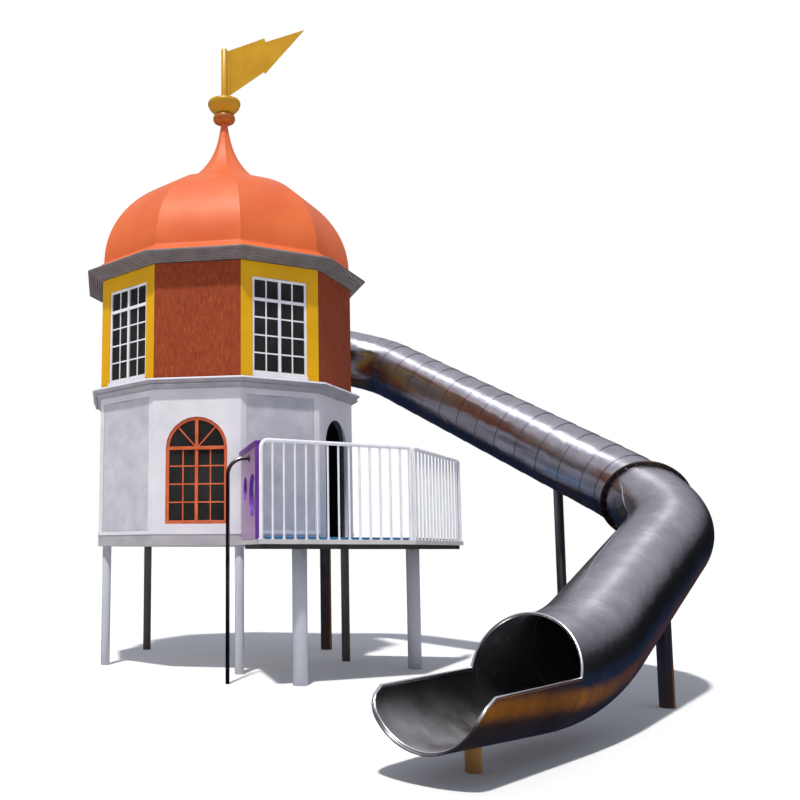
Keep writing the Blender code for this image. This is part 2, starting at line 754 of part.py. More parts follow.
PALE_WALL = finish("painted_wall", (0.62, 0.62, 0.68), 0.55)
YELLOW = finish("yellow_paint", (0.86, 0.60, 0.02), 0.40)
TERRACOTTA = finish("terracotta_panel", (0.45, 0.14, 0.07), 0.60)
WHITE = finish("white_paint", (0.85, 0.85, 0.85), 0.35)
GREY_TRIM = finish("grey_trim", (0.33, 0.34, 0.36), 0.50)
DOME_ORANGE = finish("dome_paint", (0.75, 0.24, 0.12), 0.30)
OFF_WHITE = finish("deck_band", (0.70, 0.70, 0.70), 0.45)
DARK_STEEL = finish("dark_frame", (0.05, 0.05, 0.05), 0.60)
POST_PAINT = finish("post_paint", (0.40, 0.42, 0.46), 0.45)
PURPLE = finish("purple_panel", (0.30, 0.12, 0.40), 0.45)
STAINLESS = finish("stainless_steel", (0.60, 0.60, 0.60), 0.25, 1.0)

RUNS = slide_runs()
CORE = slide_core(RUNS)
floors()
lower_walls()
upper_walls(CORE)
upper_cornice()
dome()
finial()
pennant()
deck()
railing("railing_front", 0, 36, True)
railing("railing_right", 36, 72, False)
side_panel()
fire_pole()
posts()
RIM = slide_tubes(RUNS, CORE)
slide_trough(RIM, RUNS[-1][-1])
slide_legs(CORE)
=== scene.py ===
# %% [markdown]
# # A playground tower with a stainless steel tube slide
# A ten-sided tower on posts carries a glossy dome, and a steel tube slide winds down from its upper storey.
# The rigid model is loaded first and stays where it is. Each cell after that makes one piece or one finish and
# lays it over the model, so the lesson can be read from the ground up.

# %% Load the model and the tools
import math

import bmesh
import bpy
from mathutils import Matrix, Vector
from mathutils.bvhtree import BVHTree


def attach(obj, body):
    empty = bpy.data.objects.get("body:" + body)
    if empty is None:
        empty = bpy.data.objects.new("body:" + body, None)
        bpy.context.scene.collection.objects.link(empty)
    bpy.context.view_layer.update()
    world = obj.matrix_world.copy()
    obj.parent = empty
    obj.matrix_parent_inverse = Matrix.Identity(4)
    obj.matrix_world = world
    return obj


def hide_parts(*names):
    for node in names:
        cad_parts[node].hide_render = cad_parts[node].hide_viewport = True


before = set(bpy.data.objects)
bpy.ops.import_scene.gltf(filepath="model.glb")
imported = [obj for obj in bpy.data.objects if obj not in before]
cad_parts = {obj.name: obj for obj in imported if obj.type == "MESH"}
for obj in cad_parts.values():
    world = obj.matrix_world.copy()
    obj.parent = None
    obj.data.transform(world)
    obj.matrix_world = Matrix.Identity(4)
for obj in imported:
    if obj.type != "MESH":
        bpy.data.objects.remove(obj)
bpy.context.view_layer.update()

print("nodes in the model:", len(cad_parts))

# %% [markdown]
# ## Where things stand
# Everything is in metres. The tower is a regular decagon, so most pieces are drawn once, facing the front, and
# turned about the tower's axis. An azimuth is counted from the front towards the right.

# %% The tower's own measures
AXIS = Vector((-1.3673, 2.5196, 0.0))
SIDES = 10
STEP = 360 / SIDES
RADIUS = 1.60
WALL = 0.08
APOTHEM = RADIUS * math.cos(math.radians(STEP / 2))
HALF_FACE = RADIUS * math.sin(math.radians(STEP / 2))
DECK_TOP = 1.411
UPPER_FLOOR = 3.189
CORNICE_TOP = 4.635
# A hairline keeps a piece clear of what it touches, so that two faces never coincide. The slide's is finer.
HAIR, SLIT = 0.0004, 0.0003


def direction(azimuth, length=1.0):
    """The level vector of this length towards an azimuth."""
    angle = math.radians(azimuth)
    return Vector((math.sin(angle) * length, -math.cos(angle) * length, 0.0))


def facing(azimuth):
    """Carries a piece drawn facing the front of the tower round to an azimuth."""
    return Matrix.Translation(AXIS) @ Matrix.Rotation(math.radians(azimuth), 4, "Z")


print(f"one face is {2 * HALF_FACE:.3f} m wide and {APOTHEM:.3f} m from the axis")

# %% [markdown]
# ## The camera
# The photograph was taken at about the height of a child's head, from a dozen metres away and tilted up a little.
# The frame is slid sideways with the lens shift instead of turning the camera, because turning would make the
# upright edges converge in a way that the photograph doesn't show.

# %% Camera
camera = bpy.data.objects.new("camera", bpy.data.cameras.new("camera"))
bpy.context.scene.collection.objects.link(camera)
bpy.context.scene.camera = camera
camera.data.lens = 43.15
camera.data.sensor_width = 36.0
camera.data.shift_x = 0.20
camera.data.shift_y = 0.04
camera.data.clip_end = 300
camera.location = AXIS + Vector((-1.400, -11.851, 1.304))
camera.rotation_euler = (math.radians(90 + 7.05), 0.0, math.radians(-7.73))
print("camera at", [round(c, 2) for c in camera.location])

# %% [markdown]
# ## Light
# The tower stands in the light of one high key lamp, front left, whose angle sets how far the shadows of the two
# cornices reach down the walls. The world gives the soft fill. Polished steel shows what surrounds it, so for
# reflections only the world is a pale sky over a dark band at eye level, navy under that and brown ground, as a
# photographer's cards would give. The sky glows round the key lamp, and warm ground lies right of the slide.


# %% One function for every node
def node(tree, kind, inputs=(), **settings):
    """Adds a shader node. Each input is given a value or another node's output."""
    made = tree.nodes.new("ShaderNode" + kind)
    for name, value in settings.items():
        setattr(made, name, value)
    for socket, value in dict(inputs).items():
        if isinstance(value, bpy.types.NodeSocket):
            tree.links.new(value, made.inputs[socket])
        else:
            made.inputs[socket].default_value = value
    return made


def colour(code):
    """A linear colour from an sRGB hex code."""
    channels = [int(code[i : i + 2], 16) / 255 for i in (1, 3, 5)]
    return (*(c / 12.92 if c <= 0.04045 else ((c + 0.055) / 1.055) ** 2.4 for c in channels), 1.0)


def ramp(tree, value, stops):
    """A colour ramp with these (position, hex colour) stops."""
    made = node(tree, "ValToRGB", {"Fac": value})
    marks = made.color_ramp.elements
    while len(marks) < len(stops):
        marks.new(0.5)
    for mark, (position, code) in zip(marks, stops):
        mark.position = position
        mark.color = colour(code)
    return made.outputs["Color"]


# %% World, key light and floor
world = bpy.data.worlds.new("studio")
bpy.context.scene.world = world
world.use_nodes = True
air = world.node_tree
air.nodes.clear()
up = node(air, "SeparateXYZ", {"Vector": node(air, "TexCoord").outputs["Generated"]}).outputs["Z"]
height = node(air, "MapRange", {"Value": up, "From Min": -1.0, "From Max": 1.0}).outputs["Result"]
# From straight down (0) over eye level (0.5) to straight up (1).
GROUND = (0.00, "#2A211C"), (0.10, "#3C2C22"), (0.20, "#3E3430"), (0.29, "#14233C"), (0.44, "#202E48")
SKY = (0.50, "#17191C"), (0.61, "#1E1F20"), (0.67, "#707178"), (0.78, "#B8B9C2"), (1.00, "#D4D5DE")
mirrored = ramp(air, height, GROUND + SKY)
KEY_AZIMUTH, KEY_HEIGHT = -25, 65
WARM_AZIMUTH, WARM_HEIGHT = 100, -26
GLOW_STRENGTH = 11.0


def aim(azimuth, height):
    """The unit vector towards an azimuth and a height, both in degrees."""
    return direction(azimuth, math.cos(math.radians(height))) + Vector((0, 0, math.sin(math.radians(height))))


def nearness(centre, wide, narrow, low=0.0, high=1.0):
    """Rises smoothly from low to high as the gaze nears a direction. Wide and narrow are cosines."""
    gaze = node(air, "TexCoord").outputs["Generated"]
    aligned = node(air, "VectorMath", {0: gaze, 1: tuple(centre)}, operation="DOT_PRODUCT").outputs["Value"]
    within = {"Value": aligned, "From Min": wide, "From Max": narrow, "To Min": low, "To Max": high}
    return node(air, "MapRange", within, interpolation_type="SMOOTHSTEP").outputs["Result"]


towards = aim(KEY_AZIMUTH, KEY_HEIGHT)
glow = nearness(towards, 0.94, 0.995, 1.0, GLOW_STRENGTH)
warm = nearness(aim(WARM_AZIMUTH, WARM_HEIGHT), 0.965, 0.997)
around = node(air, "Mix", {0: warm, 6: mirrored, 7: colour("#D08414")}, data_type="RGBA").outputs[2]
seen_by = node(air, "LightPath")
glossy = node(air, "Background", {"Color": around, "Strength": glow})
fill = node(air, "Background", {"Color": colour("#DDE4F2"), "Strength": 0.50})
backdrop = node(air, "Background", {"Color": colour("#FFFFFF"), "Strength": 1.0})
soft = node(air, "MixShader", {0: seen_by.outputs["Is Glossy Ray"], 1: fill.outputs[0], 2: glossy.outputs[0]})
sky = node(air, "MixShader", {0: seen_by.outputs["Is Camera Ray"], 1: soft.outputs[0], 2: backdrop.outputs[0]})
node(air, "OutputWorld", {"Surface": sky.outputs[0]})

key = bpy.data.objects.new("key_light", bpy.data.lights.new("key_light", "SUN"))
bpy.context.scene.collection.objects.link(key)
key.data.energy = 3.3
key.data.angle = math.radians(3.0)
key.data.color = (1.0, 0.975, 0.94)
key.rotation_euler = towards.to_track_quat("Z", "Y").to_euler()
print("key light from azimuth", KEY_AZIMUTH, "at", KEY_HEIGHT, "degrees")

# %% [markdown]
# ## Finishes
# Each finish starts from what the real one is. Patterns are placed in metres on the object's own coordinates, so
# a grain of 3 mm stays 3 mm on every piece.


# %% The frame of every finish
def start_finish(name, **sockets):
    """A material with a Principled shader and some of its sockets set, named with underscores."""
    made = bpy.data.materials.new(name)
    made.use_nodes = True
    tree = made.node_tree
    shader = tree.nodes["Principled BSDF"]
    for socket, value in sockets.items():
        shader.inputs[socket.replace("_", " ")].default_value = value
    return made, tree, shader


def noise(tree, period, detail=3.0, rough=0.5, stretch=(1, 1, 1)):
    """Noise whose grains are about this many metres apart, stretched along the axes if asked."""
    place = node(tree, "TexCoord").outputs["Object"]
    scaled = node(tree, "Mapping", {"Vector": place, "Scale": stretch}).outputs["Vector"]
    made = node(tree, "TexNoise", {"Vector": scaled, "Scale": 1 / period, "Detail": detail, "Roughness": rough})
    return made.outputs["Fac"]


def attribute(tree, name, output="Fac"):
    """A value that the piece's own mesh carries."""
    return node(tree, "Attribute", attribute_name=name, attribute_type="GEOMETRY").outputs[output]


def between(tree, value, low, high, first=0.0, last=1.0):
    """Carries a value that runs from first to last over to the range from low to high."""
    limits = {"Value": value, "From Min": first, "From Max": last, "To Min": low, "To Max": high}
    return node(tree, "MapRange", limits).outputs["Result"]


def bump(tree, shader, value, depth, after=None):
    """Raises the surface by a pattern, this many metres deep. It can follow an earlier bump."""
    inputs = {"Height": value, "Distance": depth, "Strength": 1.0}
    if after:
        inputs["Normal"] = after
    made = node(tree, "Bump", inputs).outputs["Normal"]
    tree.links.new(made, shader.inputs["Normal"])
    return made


def tint(tree, shader, value, stops):
    """Colours the surface by a pattern."""
    tree.links.new(ramp(tree, value, stops), shader.inputs["Base Color"])


def mottled(name, low, high, patches, grain, depth, stretch=(1, 1, 1), **sockets):
    """A finish that drifts between two tones over a fine grain; both patterns are (metres, detail)."""
    made, tree, shader = start_finish(name, **sockets)
    tint(tree, shader, noise(tree, *patches, stretch=stretch), ((0.30, low), (0.70, high)))
    bump(tree, shader, noise(tree, *grain), depth)
    return made


def painted_shade_inside(made, shade_colour="#4A4A50"):
    """Paints shade on the tower's inner faces as a dark grey; they are told apart by their distance from the
    axis.
    """
    tree = made.node_tree
    shader = tree.nodes["Principled BSDF"]
    place = node(tree, "TexCoord").outputs["Object"]
    out = node(tree, "VectorMath", {0: place, 1: tuple(AXIS)}, operation="SUBTRACT").outputs[0]
    flat = node(tree, "VectorMath", {0: out, 1: (1, 1, 0)}, operation="MULTIPLY").outputs[0]
    reach = node(tree, "VectorMath", {0: flat}, operation="LENGTH").outputs["Value"]
    outside = node(tree, "Math", {0: reach, 1: SHADE_RADIUS}, operation="GREATER_THAN").outputs[0]
    paint = shader.inputs["Base Color"].links[0].from_socket
    mixed = node(tree, "Mix", {0: outside, 6: colour(shade_colour), 7: paint}, data_type="RGBA")
    tree.links.new(mixed.outputs[2], shader.inputs["Base Color"])


SHADE_RADIUS = 1.519

# %% [markdown]
# ### Paints on the tower
# The walls are rendered boards under a matt masonry paint: a pale grey with a very slight lavender cast, and a
# sandy grain of 2 to 3 mm, drawn 6 mm coarse so that it shows. The terracotta boards have a heavier, streaky
# render. The surrounds are smooth mustard-yellow gloss, which shows its colour more purely.

# %% Wall finishes
MASONRY_PAINT = mottled("masonry_paint", "#CBC8CE", "#DAD6DB", (0.35, 4), (0.006, 2), 0.0006, Roughness=0.72)
# The inner faces of each wall paint get painted shade.
painted_shade_inside(MASONRY_PAINT)

RENDERED_BOARD, tree, shader = start_finish("rendered_board", Roughness=0.80)
tint(tree, shader, noise(tree, 0.22, 5, 0.6), ((0.32, "#AEACB5"), (0.68, "#C4C1C8")))
bump(tree, shader, noise(tree, 0.012, 4, 0.7), 0.0025)

TERRACOTTA_RENDER, tree, shader = start_finish("terracotta_render", Roughness=0.75, Specular_IOR_Level=0.2)
streaks = noise(tree, 0.030, 5, 0.65, stretch=(1.6, 1.6, 0.35))
tint(tree, shader, streaks, ((0.30, "#7A3018"), (0.55, "#94401F"), (0.80, "#AC5736")))
bump(tree, shader, noise(tree, 0.012, 4, 0.7, stretch=(1.4, 1.4, 0.6)), 0.0030)
painted_shade_inside(TERRACOTTA_RENDER)

gloss = {"Roughness": 0.45, "Specular_IOR_Level": 0.3}
YELLOW_GLOSS = mottled("yellow_gloss_paint", "#D69E00", "#E0A800", (0.5, 3), (0.02, 2), 0.0003, **gloss)
painted_shade_inside(YELLOW_GLOSS)

# %% [markdown]
# ### Trim, frames and the dome
# Trim and window frames are powder-coated metal or painted timber: smooth, with a soft sheen. The dome is moulded
# glass-fibre under a clear gloss coat, so it gets a coat layer and long shallow waves instead of a grain.

# %% Trim finishes
SMOOTH, BRUSHED = (0.01, 2), (0.008, 3)
WHITE_LACQUER = mottled("white_lacquer", "#DADAE2", "#EBEBF0", (0.15, 3), SMOOTH, 0.0002, Roughness=0.35)
ORANGE_LACQUER = mottled("orange_lacquer", "#C2532A", "#D8683A", (0.10, 3), SMOOTH, 0.0002, Roughness=0.38)
GREY_CORNICE = mottled("grey_cornice_paint", "#706867", "#847B79", (0.20, 4), BRUSHED, 0.0003, Roughness=0.50)
GREY_COVE = mottled("grey_cove_paint", "#98949B", "#ABA7AD", (0.20, 4), BRUSHED, 0.0003, Roughness=0.60)
gelcoat = {"Roughness": 0.55, "Coat_Weight": 0.10, "Coat_Roughness": 0.18, "Specular_IOR_Level": 0.3}
DOME_GELCOAT = mottled("dome_gelcoat", "#D05C2A", "#D86A36", (0.60, 3), (0.45, 2), 0.004, **gelcoat)
MUSTARD_ENAMEL = mottled("mustard_enamel", "#B98606", "#C89712", (0.25, 3), SMOOTH, 0.0002, Roughness=0.36)
# Painted reflection: the knob's orange brown stands for the orange dome's light on the same mustard paint.
KNOB_PAINTED_BOUNCE = mottled("mustard_enamel_painted_bounce", "#A3561A", "#B96A22", (0.10, 3), SMOOTH, 0.0002, Roughness=0.36)

# %% [markdown]
# ### Deck, posts and panel
# The posts are powder-coated steel tube in a blue grey. The side panel is a moulded polyethylene board: a soft
# waxy purple. Its broad faces are painted paler and its edges deeper, a painted sheen that follows which way a
# face looks.
# The window panes are acrylic, tinted near black as painted shade for the dark rooms behind, and let a little of
# them through.

# %% Panes with painted shade
pane_surface = {"Roughness": 0.06, "Alpha": 0.90}
# Painted shade: the real panes are tinted near black for the shaded rooms behind them.
PANE_PAINTED_SHADE = mottled("acrylic_pane_painted_shade", "#242222", "#343233", (0.40, 3), (0.50, 2), 0.002, **pane_surface)

# %% Deck and post finishes
tall = {"grain": (0.004, 2), "depth": 0.0002, "stretch": (1, 1, 0.3)}
POST_COAT = mottled("blue_grey_powder_coat", "#A8ABB6", "#BCBFC8", (0.30, 3), **tall, Roughness=0.42)
# Painted shade: the same blue grey coat, painted charcoal for the posts that stand in shade.
POST_COAT_PAINTED_SHADE = mottled("post_coat_painted_shade", "#4C4844", "#5E5955", (0.30, 3), **tall, Roughness=0.45)
matt = {"grain": (0.006, 3), "depth": 0.0004}
DECK_PAINT = mottled("deck_band_paint", "#BDB9BA", "#CFCBCA", (0.25, 4), **matt, Roughness=0.50)
UNDERSIDE_STEEL = mottled("underside_steel_paint", "#2C2A29", "#3F3C3A", (0.15, 4), **matt, Roughness=0.60)

BLUE_RUBBER, tree, shader = start_finish("blue_rubber_tile", Roughness=0.80)
tint(tree, shader, noise(tree, 0.003, 2), ((0.35, "#1F5C8C"), (0.65, "#2E74A6")))
bump(tree, shader, noise(tree, 0.003, 3), 0.0008)

PURPLE_BOARD, tree, shader = start_finish("purple_polyethylene", Roughness=0.45, Specular_IOR_Level=0.4)
# Painted sheen: faces that look along X, the broad ones, are painted paler; the edges stay deep purple.
looks = node(tree, "TexCoord").outputs["Normal"]
across = node(tree, "SeparateXYZ", {"Vector": looks}).outputs["X"]
broad = node(tree, "Math", {0: across}, operation="ABSOLUTE").outputs[0]
tint(tree, shader, broad, ((0.55, "#6C2A96"), (0.92, "#A98BB0")))
bump(tree, shader, noise(tree, 0.004, 3), 0.0003)

waxy = {"grain": (0.004, 3), "depth": 0.0003, "Roughness": 0.42}
DEEP_PURPLE = mottled("deep_purple_polyethylene", "#5B2086", "#6E2E9C", (0.20, 3), **waxy)

# %% [markdown]
# ### Stainless steel
# The slide is rolled from polished stainless sheet. Sliding and cleaning leave fine lines round the tube, so the
# pattern runs on each piece's own "along" attribute, its distance down the slide: equal distances are rings.
# Real lines are under 1 mm apart and wouldn't show from here, so they are drawn 9 mm apart. They also draw each
# highlight out along the tube, which the "travel" attribute, the direction of the slide, gives as the tangent.
# Slow dents of 0.16 m, with finer ones of 45 mm on them, make the highlight wander, as hand-rolled sheet does.
# Only the trough's floor is scoured dull: its own "wear" attribute says where.


# %% Steel finishes
LINE_SPACING = 0.009


def scuffed_inside(tree, shader, patches):
    """Dulls a skin where riders and shoes scour it, by the piece's own "wear" attribute."""
    spots = between(tree, patches, 0.0, 1.0, 0.15, 0.35)
    bare = node(tree, "Math", {0: attribute(tree, "wear"), 1: spots}, operation="MULTIPLY").outputs[0]
    tree.links.new(between(tree, bare, 1.0, 0.40), shader.inputs["Metallic"])
    tree.links.new(between(tree, bare, 0.28, 0.50), shader.inputs["Roughness"])


def steel(name, low, high, rough, lines, dent, drawn=0.0, metal=1.0, wears=False):
    """Polished sheet: tones, roughness, depth of lines and dents, and how far a highlight is drawn out."""
    made, tree, shader = start_finish(name, Metallic=metal)
    lined = {"W": attribute(tree, "along"), "Scale": 1 / LINE_SPACING, "Detail": 3.0, "Roughness": 0.6}
    rings = node(tree, "TexNoise", lined, noise_dimensions="1D").outputs["Fac"]
    patches = noise(tree, 0.30, 4, 0.6)
    tint(tree, shader, patches, ((0.30, low), (0.72, high)))
    worn = node(tree, "Math", {0: rings, 1: patches}, operation="MULTIPLY").outputs[0]
    tree.links.new(between(tree, worn, *rough), shader.inputs["Roughness"])
    scored = bump(tree, shader, rings, lines)
    dented = bump(tree, shader, noise(tree, 0.16, 2), dent, after=scored)
    bump(tree, shader, noise(tree, 0.045, 2), dent * 0.12, after=dented)
    if wears:
        scuffed_inside(tree, shader, worn)
    if drawn:
        shader.inputs["Anisotropic"].default_value = drawn
        tree.links.new(attribute(tree, "travel", "Vector"), shader.inputs["Tangent"])
    return made


POLISHED_STEEL = steel("polished_stainless", "#B4B3B9", "#CECCD1", (0.22, 0.36), 0.00010, 0.0050, 0.85)
RING_STEEL = steel("rolled_ring_stainless", "#B0AEB5", "#CBC9CE", (0.20, 0.34), 0.00012, 0.0070, 0.85)
WORN_STEEL = steel("worn_stainless", "#8E8C8E", "#B8B4B2", (0.22, 0.45), 0.00030, 0.0030, 0.5, wears=True)
LEG_STEEL = steel("leg_stainless", "#9A9694", "#B4B0AE", (0.30, 0.45), 0.00004, 0.0008, 0.7)
# Painted reflection: the trough's leg is tinted golden brown for the warm ground that it mirrors.
LEG_STEEL_PAINTED_WARM_REFLECTION = steel("leg_stainless_painted_warm_reflection", "#C08A50", "#D8A468", (0.40, 0.55), 0.00004, 0.0008, 0.7, 0.4)
FLANGE_STEEL = steel("weathered_flange", "#4A3E38", "#6B5A50", (0.35, 0.55), 0.00006, 0.0006)
BRIGHT_BEAD = steel("bright_rolled_edge", "#D8D6D8", "#E6E4E6", (0.15, 0.25), 0.00002, 0.0002)
DARK_CHROME = steel("brown_steel_pole", "#5A5250", "#7A716E", (0.18, 0.30), 0.00002, 0.0004)

# %% [markdown]
# ## Making meshes
# Two helpers carry most of the work: finished() turns a bmesh into a piece that rides on the model, and sweep()
# runs a round skin along a path by extruding one circle from station to station, which keeps its sides in line
# through every bend. The others make boxes, boards, turned pieces and arcs.


# %% Mesh helpers
def placed(name, work, material):
    """Makes an object from a bmesh in world space."""
    mesh = bpy.data.meshes.new(name)
    work.to_mesh(mesh)
    work.free()
    mesh.materials.append(material)
    made = bpy.data.objects.new(name, mesh)
    bpy.context.scene.collection.objects.link(made)
    return made


def finished(name, work, material, stands_for=(), sharp=35):
    """Makes a clean piece that rides on the model and may replace some of its nodes."""
    bmesh.ops.remove_doubles(work, verts=work.verts, dist=0.00001)
    # A wall between two lengths that meet face to face is taken out, so that the skin is closed.
    walls = [face for face in work.faces if all(len(edge.link_faces) > 2 for edge in face.edges)]
    bmesh.ops.delete(work, geom=walls, context="FACES_ONLY")
    bmesh.ops.recalc_face_normals(work, faces=work.faces)
    made = placed(name, work, material)
    made.data.shade_smooth()
    made.data.set_sharp_from_angle(angle=math.radians(sharp))
    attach(made, "root")
    if stands_for:
        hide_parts(*stands_for)
    return made


def block(work, low, high, place=Matrix()):
    """A box between two corners, then carried by a matrix."""
    low, high = Vector(low), Vector(high)
    shape = place @ Matrix.Translation((low + high) / 2) @ Matrix.Diagonal((*(high - low), 1.0))
    return bmesh.ops.create_cube(work, size=1.0, matrix=shape)["verts"]


def raised(work, faces, by):
    """Thickens flat faces into a board, by a vector."""
    lifted = bmesh.ops.extrude_face_region(work, geom=faces)["geom"]
    bmesh.ops.translate(work, vec=by, verts=[g for g in lifted if isinstance(g, bmesh.types.BMVert)])


def soften(made, width, segments=2):
    """Rounds a piece's edges, as paint and handling do."""
    change = made.modifiers.new("soft_edges", "BEVEL")
    change.width = width
    change.segments = segments
    change.limit_method = "ANGLE"
    change.angle_limit = math.radians(40)
    change.harden_normals = False


def stations_of(points, upright):
    """One matrix per point: Z along the path, and either a level X or the least twist."""
    stations = []
    side = None
    for i, point in enumerate(points):
        heading = (points[min(i + 1, len(points) - 1)] - points[max(i - 1, 0)]).normalized()
        if upright or side is None:
            level = heading.cross(Vector((0, 0, 1)))
            side = level.normalized() if level.length > 0.01 else Vector((1, 0, 0))
        side = (side - heading * side.dot(heading)).normalized()
        turn = Matrix((side, heading.cross(side), heading)).transposed().to_4x4()
        stations.append(Matrix.Translation(point) @ turn)
    return stations


def sweep(work, points, radii, sides=24, upright=False, caps=True):
    """A round skin along world points, with one radius for all or one for each."""
    if not isinstance(radii, (list, tuple)):
        radii = [radii] * len(points)
    along = work.verts.layers.float.get("along") or work.verts.layers.float.new("along")
    travel = work.verts.layers.float_vector.get("travel") or work.verts.layers.float_vector.new("travel")
    places = [place @ Matrix.Scale(r, 4) for place, r in zip(stations_of(points, upright), radii)]
    ring = bmesh.ops.create_circle(work, segments=sides, radius=1.0, matrix=places[0])["verts"]
    edges = list(dict.fromkeys(edge for vert in ring for edge in vert.link_edges))
    first, distance = edges, 0.0
    for vert in ring:
        vert[travel] = places[0].col[2].to_3d()
    for i in range(1, len(points)):
        new = bmesh.ops.extrude_edge_only(work, edges=edges)["geom"]
        ring = [g for g in new if isinstance(g, bmesh.types.BMVert)]
        edges = [g for g in new if isinstance(g, bmesh.types.BMEdge) and g.is_boundary]
        bmesh.ops.transform(work, matrix=places[i] @ places[i - 1].inverted(), verts=ring)
        distance += (points[i] - points[i - 1]).length
        for vert in ring:
            vert[along] = distance
            vert[travel] = places[i].col[2].to_3d()
    if caps:
        bmesh.ops.edgeloop_fill(work, edges=first)
        bmesh.ops.edgeloop_fill(work, edges=edges)


def turned(work, profile, steps, place=None, cap=False):
    """A profile of (radius, height) spun about the tower's axis."""
    verts = [work.verts.new((radius, 0.0, height)) for radius, height in profile]
    edges = [work.edges.new(pair) for pair in zip(verts, verts[1:])]
    if cap:
        edges.append(work.edges.new((verts[-1], verts[0])))
    about = {"axis": (0, 0, 1), "cent": (0, 0, 0), "angle": 2 * math.pi}
    bmesh.ops.spin(work, geom=verts + edges, steps=steps, use_merge=True, **about)
    start = Matrix.Rotation(math.radians(-90), 4, "Z")
    bmesh.ops.transform(work, matrix=(place or facing(0)) @ start, verts=work.verts)


def lathe(name, profile, steps, material, stands_for=(), cap=False, sharp=50):
    """A piece turned about the tower's axis from one profile."""
    work = bmesh.new()
    turned(work, profile, steps, cap=cap)
    return finished(name, work, material, stands_for, sharp)


def arc_points(centre, first, second, radius, start, end, count):
    """Points of an arc in the plane of two unit vectors, from start to end in degrees."""
    angles = [math.radians(start + (end - start) * i / count) for i in range(count + 1)]
    return [centre + first * radius * math.cos(a) + second * radius * math.sin(a) for a in angles]


print("helpers ready")

# %% [markdown]
# ## The walls
# The ten sides of each storey come from the model with their openings already cut. They only need their
# finishes: pale masonry paint below, and yellow or terracotta above. The plain lower sides have a shallow tray,
# which here gets a rendered infill board with softened edges.


# %% Paint the model's own pieces
def paint(names, material):
    """Gives model pieces a finish."""
    for name in names:
        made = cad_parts[name]
        if not made.material_slots:
            made.data.materials.append(material)
        for held in made.material_slots:
            held.material = material


LOWER_WINDOWS = (-18, 126, 198, 270)
LOWER_PLAIN = (-54, 18, 90, 162, 234)
UPPER_WINDOWS = (-54, 18, 90, 162, 234)
paint([f"lower_window_wall_{i}" for i in range(1, 5)], MASONRY_PAINT)
paint([f"lower_plain_wall_{i}" for i in range(1, 6)] + ["lower_door_wall"], MASONRY_PAINT)
paint([f"upper_window_wall_{i}" for i in range(1, 6)], YELLOW_GLOSS)
paint([f"upper_plain_wall_{i}" for i in range(1, 5)] + ["upper_slide_wall"], TERRACOTTA_RENDER)
paint(["upper_floor"], GREY_COVE)
paint(["tower_floor", "deck"], DECK_PAINT)
paint(["deck_frame"], UNDERSIDE_STEEL)
print("painted the walls and floors")

# %% Infill boards
TRAY_MARGIN = 0.07
TRAY_DEPTH = 0.012
BOARD_THICKNESS = 0.007
for number, azimuth in enumerate(LOWER_PLAIN, 1):
    work = bmesh.new()
    reach = HALF_FACE - TRAY_MARGIN - 0.003
    back = TRAY_DEPTH - APOTHEM - HAIR
    low = (-reach, back - BOARD_THICKNESS, DECK_TOP + TRAY_MARGIN + 0.003)
    high = (reach, back, 3.080 - TRAY_MARGIN - 0.003)
    block(work, low, high, facing(azimuth))
    soften(finished(f"infill_board_{number}", work, RENDERED_BOARD), 0.003)
print("made", len(LOWER_PLAIN), "infill boards")

# %% [markdown]
# ## Base band
# A white fillet runs round the foot of the walls, above a grey band that hides the floor's edge. Both are short
# mitred lengths, one a side. The fillet stops at the doorway so that nobody trips on it, and the band also stops
# where the deck meets the tower.


# %% Mitred lengths
def mitred(work, azimuth, inner, outer, low, high):
    """A length of trim along one whole side, cut at both ends to meet its neighbours."""
    half = inner * math.tan(math.radians(STEP / 2))
    verts = block(work, (-half, -outer, low), (half, -inner, high))
    reach = [v for v in verts if v.co.y < -(inner + outer) / 2]
    bmesh.ops.scale(work, vec=(outer / inner, 1, 1), verts=reach)
    bmesh.ops.transform(work, matrix=facing(azimuth), verts=verts)


FILLET = (DECK_TOP + 0.068, DECK_TOP + 0.106)
BAND = (1.358, FILLET[0] - HAIR)
DOOR_AZIMUTH, DECK_AZIMUTH = 54, 18


def trim_round(thickness, heights, left_out):
    """A band round the tower's foot, but for the sides at these azimuths."""
    work = bmesh.new()
    for k in range(SIDES):
        azimuth = -54 + STEP * k
        if azimuth not in left_out:
            mitred(work, azimuth, APOTHEM + HAIR, APOTHEM + thickness, *heights)
    return work


fillet = trim_round(0.010, FILLET, (DOOR_AZIMUTH,))
soften(finished("base_fillet", fillet, MASONRY_PAINT), 0.003)
band = trim_round(0.003, BAND, (DECK_AZIMUTH, DOOR_AZIMUTH))
soften(finished("base_band", band, GREY_COVE), 0.001)
print("base band made")

# %% [markdown]
# ## Windows
# The upper windows are white casements: a heavy mullion and transom, then thin glazing bars that make four
# columns and five rows. The lower ones are orange and arched, with two fan bars in each head. Each window is a
# set of bars joined in one piece, drawn flat and set 15 mm behind the wall's face.


# %% Casement windows
WINDOW_HALF = 0.35
SILL, HEAD = 3.255, 4.350
SET_BACK = 0.015
PANE, REBATE = 0.005, 0.02


def bar(work, x0, x1, z0, z1, deep, forward=0.0):
    """A bar of a window, drawn on the front face."""
    front = SET_BACK - APOTHEM - forward
    block(work, (x0, front, z0), (x1, front + deep, z1))


def frame_sides(work, half, inside, low, high, deep):
    """The two uprights of a frame."""
    for x0, x1 in ((-half, -inside), (inside, half)):
        bar(work, x0, x1, low, high, deep)


def glazing_bars(work, inside, spread, thin, low, middle, high):
    """Two upright bars from low to high, and three level ones that share out low to middle."""
    for x in (-spread * inside, spread * inside):
        bar(work, x - thin, x + thin, low, high, 0.022, -0.008)
    for part in (0.25, 0.5, 0.75):
        z = low + (middle - low) * part
        bar(work, -inside, inside, z - thin, z + thin, 0.020, -0.009)


